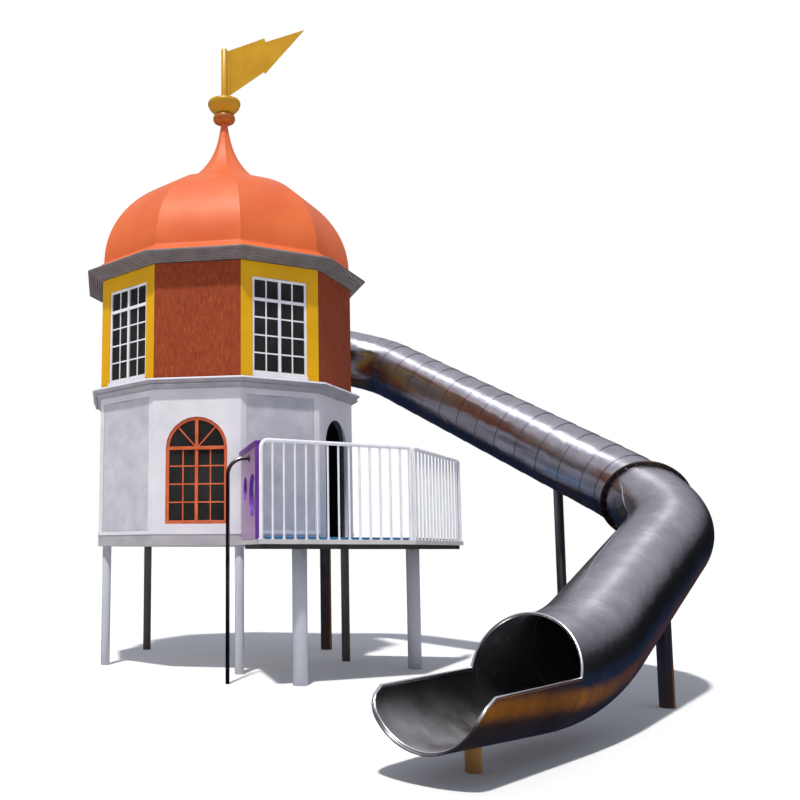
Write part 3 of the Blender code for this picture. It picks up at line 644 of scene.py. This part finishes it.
def casement(work):
    """The white frame with its mullion, transom and glazing bars."""
    edge, thick, thin = 0.030, 0.017, 0.0085
    rise = HEAD - SILL
    transom = HEAD - 0.232 * rise
    inside = WINDOW_HALF - edge
    frame_sides(work, WINDOW_HALF - HAIR, inside, SILL, HEAD - HAIR, 0.05)
    bar(work, -inside, inside, HEAD - edge, HEAD - HAIR, 0.05)
    bar(work, -inside, inside, SILL + HAIR, SILL + edge, 0.05)
    bar(work, -thick, thick, SILL + edge, HEAD - edge, 0.045, 0.003)
    bar(work, -inside, inside, transom - thick, transom + thick, 0.045, 0.006)
    glazing_bars(work, inside, 0.52, thin, SILL + edge, transom, HEAD - edge)


def sill_board(work):
    """Covers the wall between the window and the cornice's white lip."""
    block(work, (-WINDOW_HALF, -APOTHEM - 0.010, UPPER_FLOOR + 0.007), (WINDOW_HALF, -APOTHEM - HAIR, SILL))


for number, azimuth in enumerate(UPPER_WINDOWS, 1):
    work = bmesh.new()
    casement(work)
    sill_board(work)
    bmesh.ops.transform(work, matrix=facing(azimuth), verts=work.verts)
    soften(finished(f"casement_{number}", work, WHITE_LACQUER), 0.002)
    work = bmesh.new()
    pane_front = SET_BACK - APOTHEM + 0.012
    low = (REBATE - WINDOW_HALF, pane_front, SILL + REBATE)
    high = (WINDOW_HALF - REBATE, pane_front + PANE, HEAD - REBATE)
    block(work, low, high, facing(azimuth))
    finished(f"casement_pane_{number}", work, PANE_PAINTED_SHADE)
print("made", len(UPPER_WINDOWS), "casements")

# %% Arched windows
ARCH_HALF, ARCH_SILL, ARCH_SPRING = 0.345, 1.593, 2.421


def arch_band(work, radius, width, deep):
    """The curved head of a frame: a square section spun through half a circle."""
    front = SET_BACK - APOTHEM
    corners = ((radius - width, front), (radius, front), (radius, front + deep), (radius - width, front + deep))
    face = work.faces.new([work.verts.new((x, y, ARCH_SPRING)) for x, y in corners])
    centre = (0, 0, ARCH_SPRING)
    bmesh.ops.spin(work, geom=[face], axis=(0, -1, 0), cent=centre, steps=28, angle=math.pi, use_duplicate=False)


def arched_window(work):
    """The orange frame with its arched head, mullion, transom, glazing bars and fan bars."""
    edge, thick, thin = 0.037, 0.018, 0.0075
    half = ARCH_HALF - HAIR
    inside = half - edge
    frame_sides(work, half, inside, ARCH_SILL, ARCH_SPRING, 0.055)
    bar(work, -inside, inside, ARCH_SILL + HAIR, ARCH_SILL + edge, 0.055)
    arch_band(work, half, edge, 0.055)
    bar(work, -thick, thick, ARCH_SILL + edge, ARCH_SPRING + inside, 0.045, 0.003)
    bar(work, -inside, inside, ARCH_SPRING - thick, ARCH_SPRING + thick, 0.045, 0.012)
    glazing_bars(work, inside, 0.5, thin, ARCH_SILL + edge, ARCH_SPRING, ARCH_SPRING)
    front = SET_BACK - APOTHEM + 0.010
    for lean in (-42, 42):
        place = Matrix.Translation((0, 0, ARCH_SPRING)) @ Matrix.Rotation(math.radians(lean), 4, "Y")
        block(work, (-thin, front, 0.0), (thin, front + 0.018, inside + 0.01), place)


def arched_pane(work):
    """A sheet with a round head, cut to the frame's rebate."""
    half, front = ARCH_HALF - REBATE, SET_BACK - APOTHEM + 0.012
    centre = Vector((0, front, ARCH_SPRING))
    plan = [Vector((-half, front, ARCH_SILL + REBATE)), Vector((half, front, ARCH_SILL + REBATE))]
    plan += arc_points(centre, Vector((1, 0, 0)), Vector((0, 0, 1)), half, 0, 180, 28)
    sheet = work.faces.new([work.verts.new(point) for point in plan])
    raised(work, [sheet], (0, PANE, 0))


for number, azimuth in enumerate(LOWER_WINDOWS, 1):
    work = bmesh.new()
    arched_window(work)
    bmesh.ops.transform(work, matrix=facing(azimuth), verts=work.verts)
    soften(finished(f"arched_window_{number}", work, ORANGE_LACQUER), 0.002)
    work = bmesh.new()
    arched_pane(work)
    bmesh.ops.transform(work, matrix=facing(azimuth), verts=work.verts)
    finished(f"arched_pane_{number}", work, PANE_PAINTED_SHADE)
print("made", len(LOWER_WINDOWS), "arched windows")

# %% [markdown]
# ## Cornices
# The upper cornice is a ribbed moulding: six shallow ribs step out as they rise to a plain lip. The middle one is
# a plain cove with a white lip that catches the light. Both are profiles spun in ten steps, which mitres the
# corners without any extra work. The spun upper one stands for the model's plainer steps.

# %% Upper cornice
RIBS = 6
LIP = 0.022
inner = RADIUS - WALL / math.cos(math.radians(STEP / 2))
top, bottom = Vector((1.786, CORNICE_TOP - LIP)), Vector((1.618, 4.520))
outwards = Vector((bottom.y - top.y, top.x - bottom.x)).normalized() * -1
profile = [(inner, CORNICE_TOP), (1.784, CORNICE_TOP), (1.790, CORNICE_TOP - 0.006), (1.790, CORNICE_TOP - LIP)]
for rib in range(RIBS):
    for share, height in ((0.06, -0.010), (0.22, 0.001), (0.5, 0.004), (0.78, 0.001), (0.94, -0.010)):
        spot = top.lerp(bottom, (rib + share) / RIBS) + outwards * height
        profile.append(tuple(spot))
profile.append((inner, 4.520))
lathe("ribbed_cornice", profile, SIDES, GREY_CORNICE, ["upper_cornice"], True, 20)

# %% Middle cornice lip
lip = [(1.640, UPPER_FLOOR + HAIR), (1.640, UPPER_FLOOR + 0.006), (1.700, UPPER_FLOOR + 0.004)]
lip += [(1.706, UPPER_FLOOR - 0.002), (1.706, UPPER_FLOOR - 0.014), (1.7004, UPPER_FLOOR - 0.014)]
lip += [(1.7004, UPPER_FLOOR + HAIR)]
lathe("middle_cornice_lip", lip, SIDES, WHITE_LACQUER, cap=True, sharp=20)

bead = [(1.6705, UPPER_FLOOR - 0.058), (1.679, UPPER_FLOOR - 0.060), (1.681, UPPER_FLOOR - 0.068)]
bead += [(1.676, UPPER_FLOOR - 0.076), (1.6565, UPPER_FLOOR - 0.078)]
lathe("middle_cornice_bead", bead, SIDES, GREY_COVE, cap=True, sharp=20)
print("cornices made")

# %% [markdown]
# ## The dome
# Ten curved gores rise from a small cove to a flat shoulder, and a concave spire grows out of that. Spinning one
# profile in ten steps gives true gores with a ridge between them. The profile is fine, so the gores curve
# smoothly upwards, and the ridges are softened by a few millimetres, as a mould leaves them.

# %% Dome
SPRING, DOME_RADIUS, DOME_RISE, DOME_BASE, KICK = 4.765, 1.59, 1.27, 4.636, 0.17
SPIRE_FOOT, SPIRE_TOP, SPIRE_RADIUS, SPIRE_TAPER = 5.954, 6.83, 0.560, 2.95
SKIN = 0.025


def shell(count, inset):
    """The dome's side from the spire's foot to its spring, moved inwards by inset."""
    start = math.asin(SPIRE_RADIUS / DOME_RADIUS)
    angles = [start + (math.pi / 2 - start) * i / count for i in range(count + 1)]
    rise = DOME_RISE - inset
    return [(DOME_RADIUS * math.sin(a) - inset, SPRING + rise * math.cos(a)) for a in angles]


profile = [(0.0, SPIRE_TOP)]
for i in range(27):
    z = SPIRE_TOP + (SPIRE_FOOT + 0.012 - SPIRE_TOP) * i / 26
    profile.append((SPIRE_RADIUS * math.exp(-SPIRE_TAPER * (z - SPIRE_FOOT)), z))
profile += shell(44, 0.0)[1:]
for i in range(1, 13):
    z = SPRING + (DOME_BASE - SPRING) * i / 12
    profile.append((DOME_RADIUS + KICK * (i / 12) ** 2, z))
profile.append((DOME_RADIUS + KICK - SKIN, DOME_BASE))
profile += list(reversed(shell(12, SKIN))) + [(0.30, 6.10), (0.17, 6.28), (0.0, 6.30)]
soften(lathe("gored_dome", profile, SIDES, DOME_GELCOAT, ["dome"], sharp=25), 0.006, 3)
print("dome profile has", len(profile), "points")

# %% [markdown]
# ## Finial and pennant
# A round knob and a shallow bowl are turned on a lathe in mustard enamel; the knob under the bowl is painted
# orange brown, a painted reflection of the orange dome. The pennant is cut from sheet with a step half way along,
# and is welded to a flat sleeve beside the pole.

# %% Finial
LATHE_STEPS = 64
knob = [(0.0, 6.8304), (0.060, 6.8304), (0.092, 6.836), (0.132, 6.858), (0.143, 6.885), (0.143, 6.912)]
knob += [(0.130, 6.940), (0.105, 6.955), (0.0, 6.955)]
lathe("turned_knob", knob, LATHE_STEPS, KNOB_PAINTED_BOUNCE, ["finial"])

bowl = [(0.0, 6.956), (0.098, 6.956), (0.112, 6.972), (0.160, 7.005), (0.195, 7.045), (0.212, 7.088)]
bowl += [(0.2135, 7.104), (0.207, 7.116), (0.0, 7.116)]
lathe("turned_bowl", bowl, LATHE_STEPS, MUSTARD_ENAMEL)

lid = [(0.0, 7.1164), (0.208, 7.1164), (0.206, 7.126), (0.150, 7.152), (0.052, 7.166), (0.040, 7.172)]
lid += [(0.040, 7.852), (0.034, 7.860), (0.0, 7.860)]
lathe("flagpole", lid, LATHE_STEPS, MUSTARD_ENAMEL)

# %% Pennant
OUTLINE = [(0.041, 7.20), (0.530, 7.585), (0.543, 7.557), (1.080, 8.220), (0.551, 8.007), (0.535, 8.060)]
OUTLINE.append((0.041, 7.84))
SHEET = 0.006
work = bmesh.new()
face = work.faces.new([work.verts.new((x, -SHEET / 2, z)) for x, z in OUTLINE])
raised(work, [face], (0, SHEET, 0))
block(work, (0.0395, -0.016, 7.205), (0.075, 0.016, 7.842))
bmesh.ops.transform(work, matrix=facing(0), verts=work.verts)
soften(finished("sheet_pennant", work, MUSTARD_ENAMEL, ["pennant"]), 0.0015)
print("finial and pennant made")

# %% [markdown]
# ## Deck dressing
# A mat of rubber tiles covers the deck and stops short of its edge. From below it shows as a thin blue line
# behind the balusters.


# %% Deck mat
DECK_RADIUS = 2.896


def deck_outline(inset, inner):
    """The deck's plan, moved in from its free edges."""
    outer = DECK_RADIUS - inset / math.cos(math.radians(STEP / 2))
    far, near = math.degrees(inset / outer), math.degrees(inset / inner)
    plan = [direction(far, outer), direction(36, outer), direction(72 - far, outer)]
    return plan + [direction(72 - near, inner), direction(36, inner), direction(near, inner)]


MAT_EDGE, MAT_THICK = 0.055, 0.024
work = bmesh.new()
low = AXIS + Vector((0, 0, DECK_TOP + HAIR))
verts = [work.verts.new(low + point) for point in deck_outline(MAT_EDGE, RADIUS + 0.03)]
raised(work, [work.faces.new(verts)], (0, 0, MAT_THICK))
soften(finished("rubber_mat", work, BLUE_RUBBER), 0.004)
print("mat made")

# %% [markdown]
# ## Railing
# Each side is one bent tube with upright bars welded between the rail and the deck. The first tube turns down in
# a rounded corner, as bent handrail does. Each baluster gets a small foot collar.

# %% Railing
RAIL, BALUSTER, RAIL_TOP, BALUSTERS = 0.020, 0.0105, 2.377, 13
UP = Vector((0, 0, 1))


def upright(work, foot, low, high, radius, sides=16):
    """A round bar straight up over a point."""
    sweep(work, [foot + UP * low, foot + UP * high], radius, sides)


def railing(name, first, last, rounded, stands_for):
    """One side of the railing between two corners of the deck."""
    ring = DECK_RADIUS - 0.030 / math.cos(math.radians(STEP / 2))
    start, end = AXIS + direction(first, ring), AXIS + direction(last, ring)
    along = (end - start).normalized()
    start, end = start + along * 0.024, end - along * 0.024
    low, high = DECK_TOP + HAIR, RAIL_TOP - RAIL
    bend = 0.075 if rounded else 0.022
    centre = start + UP * (high - bend) + along * bend
    path = [start + UP * low] + arc_points(centre, -along, UP, bend, 0, 90, 12)
    centre = end + UP * (high - 0.022) - along * 0.022
    path += arc_points(centre, UP, along, 0.022, 0, 90, 6) + [end + UP * low]
    work = bmesh.new()
    sweep(work, path, RAIL, 28)
    for i in range(1, BALUSTERS + 1):
        foot = start.lerp(end, i / (BALUSTERS + 1))
        upright(work, foot, low, high - 0.004, BALUSTER)
        upright(work, foot, low, low + 0.010, BALUSTER * 1.7)
    for foot in (start, end):
        upright(work, foot, low, low + 0.008, RAIL * 1.6, 24)
    finished(name, work, WHITE_LACQUER, [stands_for], sharp=50)


railing("front_handrail", 0, 36, True, "railing_front")
railing("right_handrail", 36, 72, False, "railing_right")
print("railing has", 2 * BALUSTERS, "balusters")

# %% [markdown]
# ## Side panel and sliding pole
# The panel is a thick moulded board with two round holes and a cap along its top. It is drawn as an outline and
# two circles, filled, thickened and then softened, because the real one has generous moulded radii.

# %% Side panel
PANEL_TOP, PANEL_THICK, PANEL_NEAR, PANEL_FAR = 2.36, 0.045, 1.66, 2.80
HOLES = ((2.42, 1.85, 0.215), (1.94, 1.94, 0.125))


def plate_with_holes(outline, holes, thickness):
    """A board in the YZ plane: edges of its outline and holes filled as one face, then thickened."""
    work = bmesh.new()
    corners = [work.verts.new((0, -y, z)) for y, z in outline]
    edges = [work.edges.new(pair) for pair in zip(corners, corners[1:] + corners[:1])]
    for y, z, radius in holes:
        turn = Matrix.Translation((0, -y, z)) @ Matrix.Rotation(math.radians(90), 4, "Y")
        ring = bmesh.ops.create_circle(work, segments=56, radius=radius, matrix=turn)["verts"]
        edges += list(dict.fromkeys(e for v in ring for e in v.link_edges))
    bmesh.ops.triangle_fill(work, edges=edges, use_beauty=True)
    inner = [e for e in work.edges if not e.is_boundary]
    bmesh.ops.dissolve_limit(work, angle_limit=0.01, verts=work.verts, edges=inner)
    raised(work, list(work.faces), (thickness, 0, 0))
    return work


low, high = DECK_TOP + HAIR, PANEL_TOP - 0.005
outline = [(PANEL_NEAR, low), (PANEL_FAR, low), (PANEL_FAR, high), (PANEL_NEAR, high)]
work = plate_with_holes(outline, HOLES, PANEL_THICK)
bmesh.ops.transform(work, matrix=Matrix.Translation(AXIS), verts=work.verts)
soften(finished("moulded_panel", work, PURPLE_BOARD, ["side_panel"]), 0.006, 3)

work = bmesh.new()
place = Matrix.Translation(AXIS + Vector((PANEL_THICK / 2, 0, 0)))
block(work, (-0.05, -PANEL_FAR, PANEL_TOP - 0.045), (0.05, -PANEL_NEAR, PANEL_TOP), place)
block(work, (-0.045, -PANEL_FAR, DECK_TOP + 0.001), (0.0215, -2.755, PANEL_TOP - 0.02), place)
soften(finished("panel_cap_and_edge", work, DEEP_PURPLE), 0.008, 3)
print("panel with", len(HOLES), "holes")

# %% Sliding pole
POLE_FOOT = AXIS + Vector((-0.22, -2.24, 0.0))
POLE_TOP, POLE_BEND = 2.235, 0.17
centre = POLE_FOOT + Vector((POLE_BEND, 0, POLE_TOP - POLE_BEND))
path = [POLE_FOOT] + arc_points(centre, Vector((-1, 0, 0)), UP, POLE_BEND, 0, 90, 18)
path.append(Vector((AXIS.x - 0.0006, POLE_FOOT.y, POLE_TOP)))
work = bmesh.new()
sweep(work, path, 0.020, 28)
sweep(work, [path[-1] - Vector((0.012, 0, 0)), path[-1]], 0.036, 28)
finished("sliding_pole", work, DARK_CHROME, ["fire_pole"], sharp=50)

# %% [markdown]
# ## Posts
# All the posts are straight tubes. The model's have sixteen sides, so each is replaced by a finer one of the same
# size with a slight round at its foot. The two thick posts under the deck and the two in the light are blue grey,
# and the ones at the back and the right, which stand in shade, are painted charcoal as painted shade.

# %% Posts
TOWER_POSTS = {"front": 0, "right": 72, "left": -72, "back": -144}
DECK_POSTS = {"front": (11.1, 2.47), "right": (57.1, 2.382)}
POST_RING = 1.494
TOWER_POST, DECK_POST = (0.050, 1.3555), (0.075, 1.3201)


def post(name, place, size, material, stands_for):
    """A straight tube of this radius and height, eased at its ends."""
    foot, (radius, top) = AXIS + place, size
    work = bmesh.new()
    heights = (0.0, 0.004, top - 0.004, top)
    sizes = (radius - 0.004, radius, radius, radius - 0.004)
    sweep(work, [foot + UP * z for z in heights], list(sizes), 40)
    finished(name, work, material, [stands_for], sharp=50)


for name, azimuth in TOWER_POSTS.items():
    # The posts at the back and the right get the painted shade.
    coat = POST_COAT_PAINTED_SHADE if name in ("back", "right") else POST_COAT
    post(f"round_post_{name}", direction(azimuth, POST_RING), TOWER_POST, coat, f"tower_post_{name}")
for name, (azimuth, far) in DECK_POSTS.items():
    post(f"thick_post_{name}", direction(azimuth, far), DECK_POST, POST_COAT, f"deck_post_{name}")
print("posts:", len(TOWER_POSTS) + len(DECK_POSTS))

# %% [markdown]
# ## The slide's centreline
# The slide is a list of runs. Along each run the direction of travel and the fall change evenly from what the
# last run ended with. Adding up small steps gives the centreline, and everything else on the slide is placed by
# its distance along that.

# %% Centreline
# Each run has a name, a length, and the azimuth and the fall in degrees that it ends with.
TUBE = 0.385
RUNS = (
    ("mouth", 0.22, 126, 0.0),
    ("bend", 1.29, 27.0, 27.4),
    ("chute", 3.54, 27.0, 27.4),
    ("elbow", 1.95, -46.6, 19.2),
    ("lower", 2.06, -46.6, 19.2),
    ("runout", 1.18, -50.7, -2.5),
    ("trough", 1.08, -50.7, -2.5),
)
FINE = 0.02


def travel(azimuth, fall):
    """The unit vector of travel down the slide."""
    level = direction(azimuth, math.cos(math.radians(fall)))
    return level - UP * math.sin(math.radians(fall))


line, marks = [AXIS + direction(126, APOTHEM) + UP * 4.06], {}
azimuth, fall, total = 126, 0.0, 0.0
for name, length, end_azimuth, end_fall in RUNS:
    count = round(length / FINE)
    for i in range(count):
        part = (i + 0.5) / count
        heading = travel(azimuth + (end_azimuth - azimuth) * part, fall + (end_fall - fall) * part)
        line.append(line[-1] + heading * (length / count))
    azimuth, fall, total = end_azimuth, end_fall, total + length
    marks[name] = total
distances = [0.0]
for before, after in zip(line, line[1:]):
    distances.append(distances[-1] + (after - before).length)
print("the slide is", round(total, 2), "m long")


# %% Points on the centreline
def point_at(distance):
    """The centreline's point at this distance; before the start it runs straight back."""
    if distance <= 0:
        return line[0] + (line[0] - line[1]).normalized() * -distance
    for i in range(1, len(line)):
        if distances[i] >= distance:
            share = (distance - distances[i - 1]) / (distances[i] - distances[i - 1])
            return line[i - 1].lerp(line[i], share)
    return line[-1] + (line[-1] - line[-2]).normalized() * (distance - distances[-1])


def heading_at(distance):
    """The unit vector of travel at this distance."""
    return (point_at(distance + 0.01) - point_at(distance - 0.01)).normalized()


def across_at(distance):
    """The level vector to the right of travel, and the upward one square to the tube."""
    heading = heading_at(distance)
    right = heading.cross(UP).normalized()
    return right, right.cross(heading).normalized()


def on_skin(distance, clock, radius=TUBE):
    """A point on the tube: clock 0 is the right side of travel, 90 the top."""
    right, top = across_at(distance)
    angle = math.radians(clock)
    return point_at(distance) + (right * math.cos(angle) + top * math.sin(angle)) * radius


# %% [markdown]
# ## Steel tubes
# The upper bend and the chute are made of short rings, each pushed a little way into the next. A ring is slightly
# wider at its lower end, and this small step is what breaks the reflections into the scales that the eye reads as
# a ringed tube. The lower lengths are smoother: two pressed halves joined by a weld along the inside of the turn.


# %% Tube lengths
def lengths(start, end, ring, taper, step=0.035):
    """Distances and radii down a length of tube, with a pair of stations at every ring joint."""
    count = max(1, round((end - start) / ring)) if ring else 1
    size = (end - start) / count
    places, radii = [], []
    for k in range(count):
        low, high = start + k * size, start + (k + 1) * size
        inner_steps = max(1, round((high - low) / step))
        for i in range(inner_steps + 1):
            share = i / inner_steps
            nudge = 0.0008 if i == 0 else (-0.0008 if i == inner_steps else 0.0)
            places.append(low + (high - low) * share + nudge)
            radii.append(TUBE - SLIT - taper * (1 - share))
    return places, radii


def thicken(work, skin=0.006):
    """Turns an open skin into sheet, by this much inwards."""
    bmesh.ops.remove_doubles(work, verts=work.verts, dist=0.00001)
    bmesh.ops.recalc_face_normals(work, faces=work.faces)
    bmesh.ops.solidify(work, geom=list(work.faces), thickness=skin)


# The flange's joint leans 20 degrees and the hood's rim leans back. Each slant fades out over LEAN_REACH.
FLANGE_SLANT, HOOD_SLANT, LEAN_REACH = 0.140, 0.14, 0.45


def lean_end(work, start, edge, side, slant):
    """Slides a tube's points along it near one end, so that the end takes a slant."""
    along = work.verts.layers.float["along"]
    for vert in work.verts:
        distance = start + vert[along]
        weight = 1 - (distance - edge) * side / LEAN_REACH
        if weight > 0:
            right, top = across_at(distance)
            out = vert.co - point_at(distance)
            clock = math.degrees(math.atan2(out.dot(top), out.dot(right)))
            vert.co = on_skin(distance + slant(clock) * weight, clock, out.length)


def steel_length(name, start, end, material, stands_for, ring=0.0, taper=0.0, slants=(None, None)):
    """One bolted length of the slide, as a skin that is thickened inwards. Its ends may be slanted."""
    places, radii = lengths(start + SLIT, end - SLIT, ring, taper)
    work = bmesh.new()
    sweep(work, [point_at(d) for d in places], radii, 72, upright=True, caps=False)
    if slants[0]:
        lean_end(work, start, start, 1, slants[0])
    if slants[1]:
        lean_end(work, start, end, -1, slants[1])
    thicken(work)
    finished(name, work, material, stands_for, sharp=12)


def flange_slant(clock):
    """How far past its middle the flange's joint lies at a clock angle."""
    return -FLANGE_SLANT * math.cos(math.radians(clock))


def hood_slant(clock):
    """The hood's rim leans back from its two corners to its top."""
    return -HOOD_SLANT * max(0.0, math.sin(math.radians(clock)))


# The tube runs on past the chute's run to its flange. The other joints lie just past the end of a run.
JOINT, TO_FLANGE = 0.05, 0.715
first_joint = marks["bend"] + JOINT
second_joint = marks["chute"] + TO_FLANGE
third_joint = marks["elbow"] + JOINT
rim = marks["runout"] + JOINT
steel_length("ringed_bend", -WALL, first_joint, RING_STEEL, ["slide_upper_bend"], 0.19, 0.0035)
stands_for, slants = ["slide_chute", "slide_chute_end"], (None, flange_slant)
steel_length("ringed_chute", first_joint, second_joint, RING_STEEL, stands_for, 0.33, 0.0055, slants)
stands_for, slants = ["slide_elbow"], (flange_slant, None)
steel_length("pressed_elbow", second_joint, third_joint, POLISHED_STEEL, stands_for, slants=slants)
stands_for, slants = ["slide_lower_tube"], (None, hood_slant)
steel_length("pressed_tube", third_joint, rim, POLISHED_STEEL, stands_for, slants=slants)
print("tube lengths end at", [round(d, 2) for d in (first_joint, second_joint, third_joint, rim)])

# %% [markdown]
# ## The open trough
# Past the hood the tube is cut away above its middle and runs on as an open trough with a rounded nose. It is
# swept like the rest and cut by one plane, and its corners are pulled back along the travel. A bright rolled edge
# runs round the hood's rim and the trough's lip.

# %% Trough
LIP_END, LIP_REACH, LIP_DROP = marks["trough"], 0.190, 0.17
PULL = 0.25
rim_height = point_at(rim).z


def nose_reach(z, longest):
    """How far the rounded nose reaches past the trough's end at this height."""
    depth = max(0.0, min(1.0, (rim_height - z) / LIP_DROP))
    return longest * math.sqrt(1 - (1 - depth) ** 2)


work = bmesh.new()
places = [rim + SLIT + (LIP_END + LIP_REACH - rim) * i / 48 for i in range(49)]
sweep(work, [point_at(d) for d in places], TUBE - SLIT, 96, upright=True, caps=False)
whole = list(work.verts) + list(work.edges) + list(work.faces)
bmesh.ops.bisect_plane(work, geom=whole, plane_co=(0, 0, rim_height), plane_no=(0, 0, 1), clear_outer=True)
slope = heading_at(LIP_END)
flat_nose = Vector((slope.x, slope.y, 0)).normalized()
end_point = point_at(LIP_END)
for vert in work.verts:
    past = (vert.co - end_point).dot(flat_nose)
    allowed = nose_reach(vert.co.z, LIP_REACH)
    if past > -PULL:
        vert.co += flat_nose * (past + PULL) * ((allowed + PULL) / (LIP_REACH + PULL) - 1)
thicken(work)
wear = work.verts.layers.float.new("wear")
for vert in work.verts:
    out = vert.co - point_at(rim)
    inner = (out - slope * out.dot(slope)).length < TUBE - 0.003
    depth = max(0.0, (rim_height - vert.co.z) / TUBE)
    vert[wear] = min(1.0, depth) ** 3 if inner else 0.0
finished("open_trough", work, WORN_STEEL, ["slide_trough"], sharp=30)


# %% Rolled edges
BEAD, NOSE_RISE = 0.0115, 2.5


def lip_place(clock):
    """A point of the trough's nose, from its right corner (0) under to its left one (180)."""
    angle = math.radians(clock)
    right = across_at(LIP_END)[0]
    radius = TUBE - BEAD
    spot = end_point + right * math.cos(angle) * radius - UP * math.sin(angle) * radius
    reach = nose_reach(spot.z, LIP_REACH - BEAD)
    rise = math.tan(math.radians(NOSE_RISE)) * reach
    return spot + flat_nose * reach + UP * (rise if rim_height - spot.z > 0.01 else 0.0)


hood = [on_skin(rim + hood_slant(clock), clock, TUBE - 0.003) for clock in range(0, 181, 6)]
right_corner, left_corner = lip_place(8), lip_place(172)
right_corner.z = left_corner.z = rim_height - 0.004
nose_line = [lip_place(clock) for clock in range(14, 167, 6)]
edge = [hood[0]] + [hood[0].lerp(right_corner, i / 6) for i in range(1, 7)] + nose_line
edge += [left_corner.lerp(hood[-1], i / 6) for i in range(7)]
work = bmesh.new()
sweep(work, hood, BEAD, 16)
sweep(work, edge, BEAD, 16)
finished("rolled_edge", work, BRIGHT_BEAD, sharp=50)
print("trough and rolled edge made")

# %% [markdown]
# ## Flange, bolts and weld
# The chute and the elbow meet in a bolted ring flange, dark with grime. It leans with the joint. A weld runs down
# the inner side of the turn from the flange, and drifts up to the top of the tube on the way to the hood.

# %% Flange
FLANGE_RADIUS, FLANGE_HALF, EASE = 0.4250, 0.015, 0.004
side = [(TUBE + 0.0006, -FLANGE_HALF), (0.4215, -FLANGE_HALF), (FLANGE_RADIUS, EASE - FLANGE_HALF)]
ring = side + [(radius, -height) for radius, height in reversed(side)]
work = bmesh.new()
turned(work, ring, 96, Matrix(), cap=True)
for vert in work.verts:
    clock = math.degrees(math.atan2(vert.co.y, vert.co.x))
    vert.co = on_skin(second_joint + flange_slant(clock) + vert.co.z, clock, math.hypot(vert.co.x, vert.co.y))
finished("bolted_flange", work, FLANGE_STEEL, ["slide_flange"], sharp=30)

BOLTS, BOLT_CIRCLE, BOLT_RADIUS, BOLT_HEAD = 24, 0.406, 0.0095, 0.008
hexagon = {"cap_ends": True, "segments": 6, "radius1": BOLT_RADIUS, "radius2": BOLT_RADIUS, "depth": BOLT_HEAD}
work = bmesh.new()
for i in range(BOLTS):
    clock = 360 * (i + 0.5) / BOLTS
    distance = second_joint + flange_slant(clock) + 0.018
    turn = heading_at(distance).to_track_quat("Z", "Y").to_matrix().to_4x4()
    spot = Matrix.Translation(on_skin(distance, clock, BOLT_CIRCLE)) @ turn
    bmesh.ops.create_cone(work, matrix=spot, **hexagon)
finished("flange_bolts", work, BRIGHT_BEAD, sharp=30)

# %% Weld
# Each pair is a distance down the slide and a clock angle on the tube.
SEAM = ((second_joint + 0.02, 32), (6.20, 19), (6.90, 34), (7.60, 60), (8.15, 66), (9.20, 84))
path = []
for (near, near_clock), (far, far_clock) in zip(SEAM, SEAM[1:]):
    count = round((far - near) / 0.035)
    for i in range(count):
        share = i / count
        clock = near_clock + (far_clock - near_clock) * (1 - math.cos(math.pi * share)) / 2
        path.append(on_skin(near + (far - near) * share, clock, TUBE - 0.001))
work = bmesh.new()
sweep(work, path, [0.0045 + 0.0008 * math.sin(i * 2.4) for i in range(len(path))], 10)
finished("weld_seam", work, BRIGHT_BEAD, sharp=60)
print("flange with", BOLTS, "bolts")

# %% [markdown]
# ## Slide legs
# The legs are stainless tubes, each coped to the underside of what it carries. A ray straight up from every
# vertex of a leg's top ring finds the steel, and the vertex goes there.

# %% Legs
# Each leg has a place from the tower's axis, a radius and the length of slide that it carries.
LEGS = {
    "mouth": ((1.491, 0.896), 0.073, "ringed_bend"),
    "chute": ((3.655, -1.523), 0.052, "ringed_chute"),
    "elbow": ((3.26, -4.15), 0.064, "pressed_tube"),
    "trough": ((0.765, -6.20), 0.050, "open_trough"),
}
for name, ((x, y), radius, carried) in LEGS.items():
    mesh = bpy.data.objects[carried].data
    steel_above = BVHTree.FromPolygons([v.co for v in mesh.vertices], [p.vertices for p in mesh.polygons])
    foot = AXIS + Vector((x, y, 0))
    work = bmesh.new()
    sweep(work, [foot, foot + UP * 0.004, foot + UP * 0.1], [radius - 0.004, radius, radius], 48, caps=False)
    work.verts.ensure_lookup_table()
    for vert in work.verts:
        if vert.co.z > 0.05:
            hit = steel_above.ray_cast(Vector((vert.co.x, vert.co.y, 0.01)), UP)[0]
            vert.co.z = hit.z + 0.001
    bmesh.ops.edgeloop_fill(work, edges=[e for e in work.edges if e.is_boundary and e.verts[0].co.z < 0.002])
    # The trough's leg gets the painted warm reflection.
    coat = LEG_STEEL_PAINTED_WARM_REFLECTION if name == "trough" else LEG_STEEL
    finished(f"coped_leg_{name}", work, coat, [f"slide_leg_{name}"], sharp=50)
print("legs:", len(LEGS))

# %% [markdown]
# ## Floor
# A plain pale floor catches the shadows. It is hidden from reflections so that the steel shows the dark studio
# ground instead.

# %% Floor
FLOOR_PAPER, tree, shader = start_finish("pale_floor", Roughness=0.9)
tint(tree, shader, noise(tree, 3.0, 2), ((0.30, "#EDEDEE"), (0.70, "#F2F2F3")))
work = bmesh.new()
bmesh.ops.create_grid(work, x_segments=4, y_segments=4, size=60)
floor = placed("floor", work, FLOOR_PAPER)
floor.visible_glossy = False

# %% Colour view
bpy.context.scene.view_settings.view_transform = "Standard"
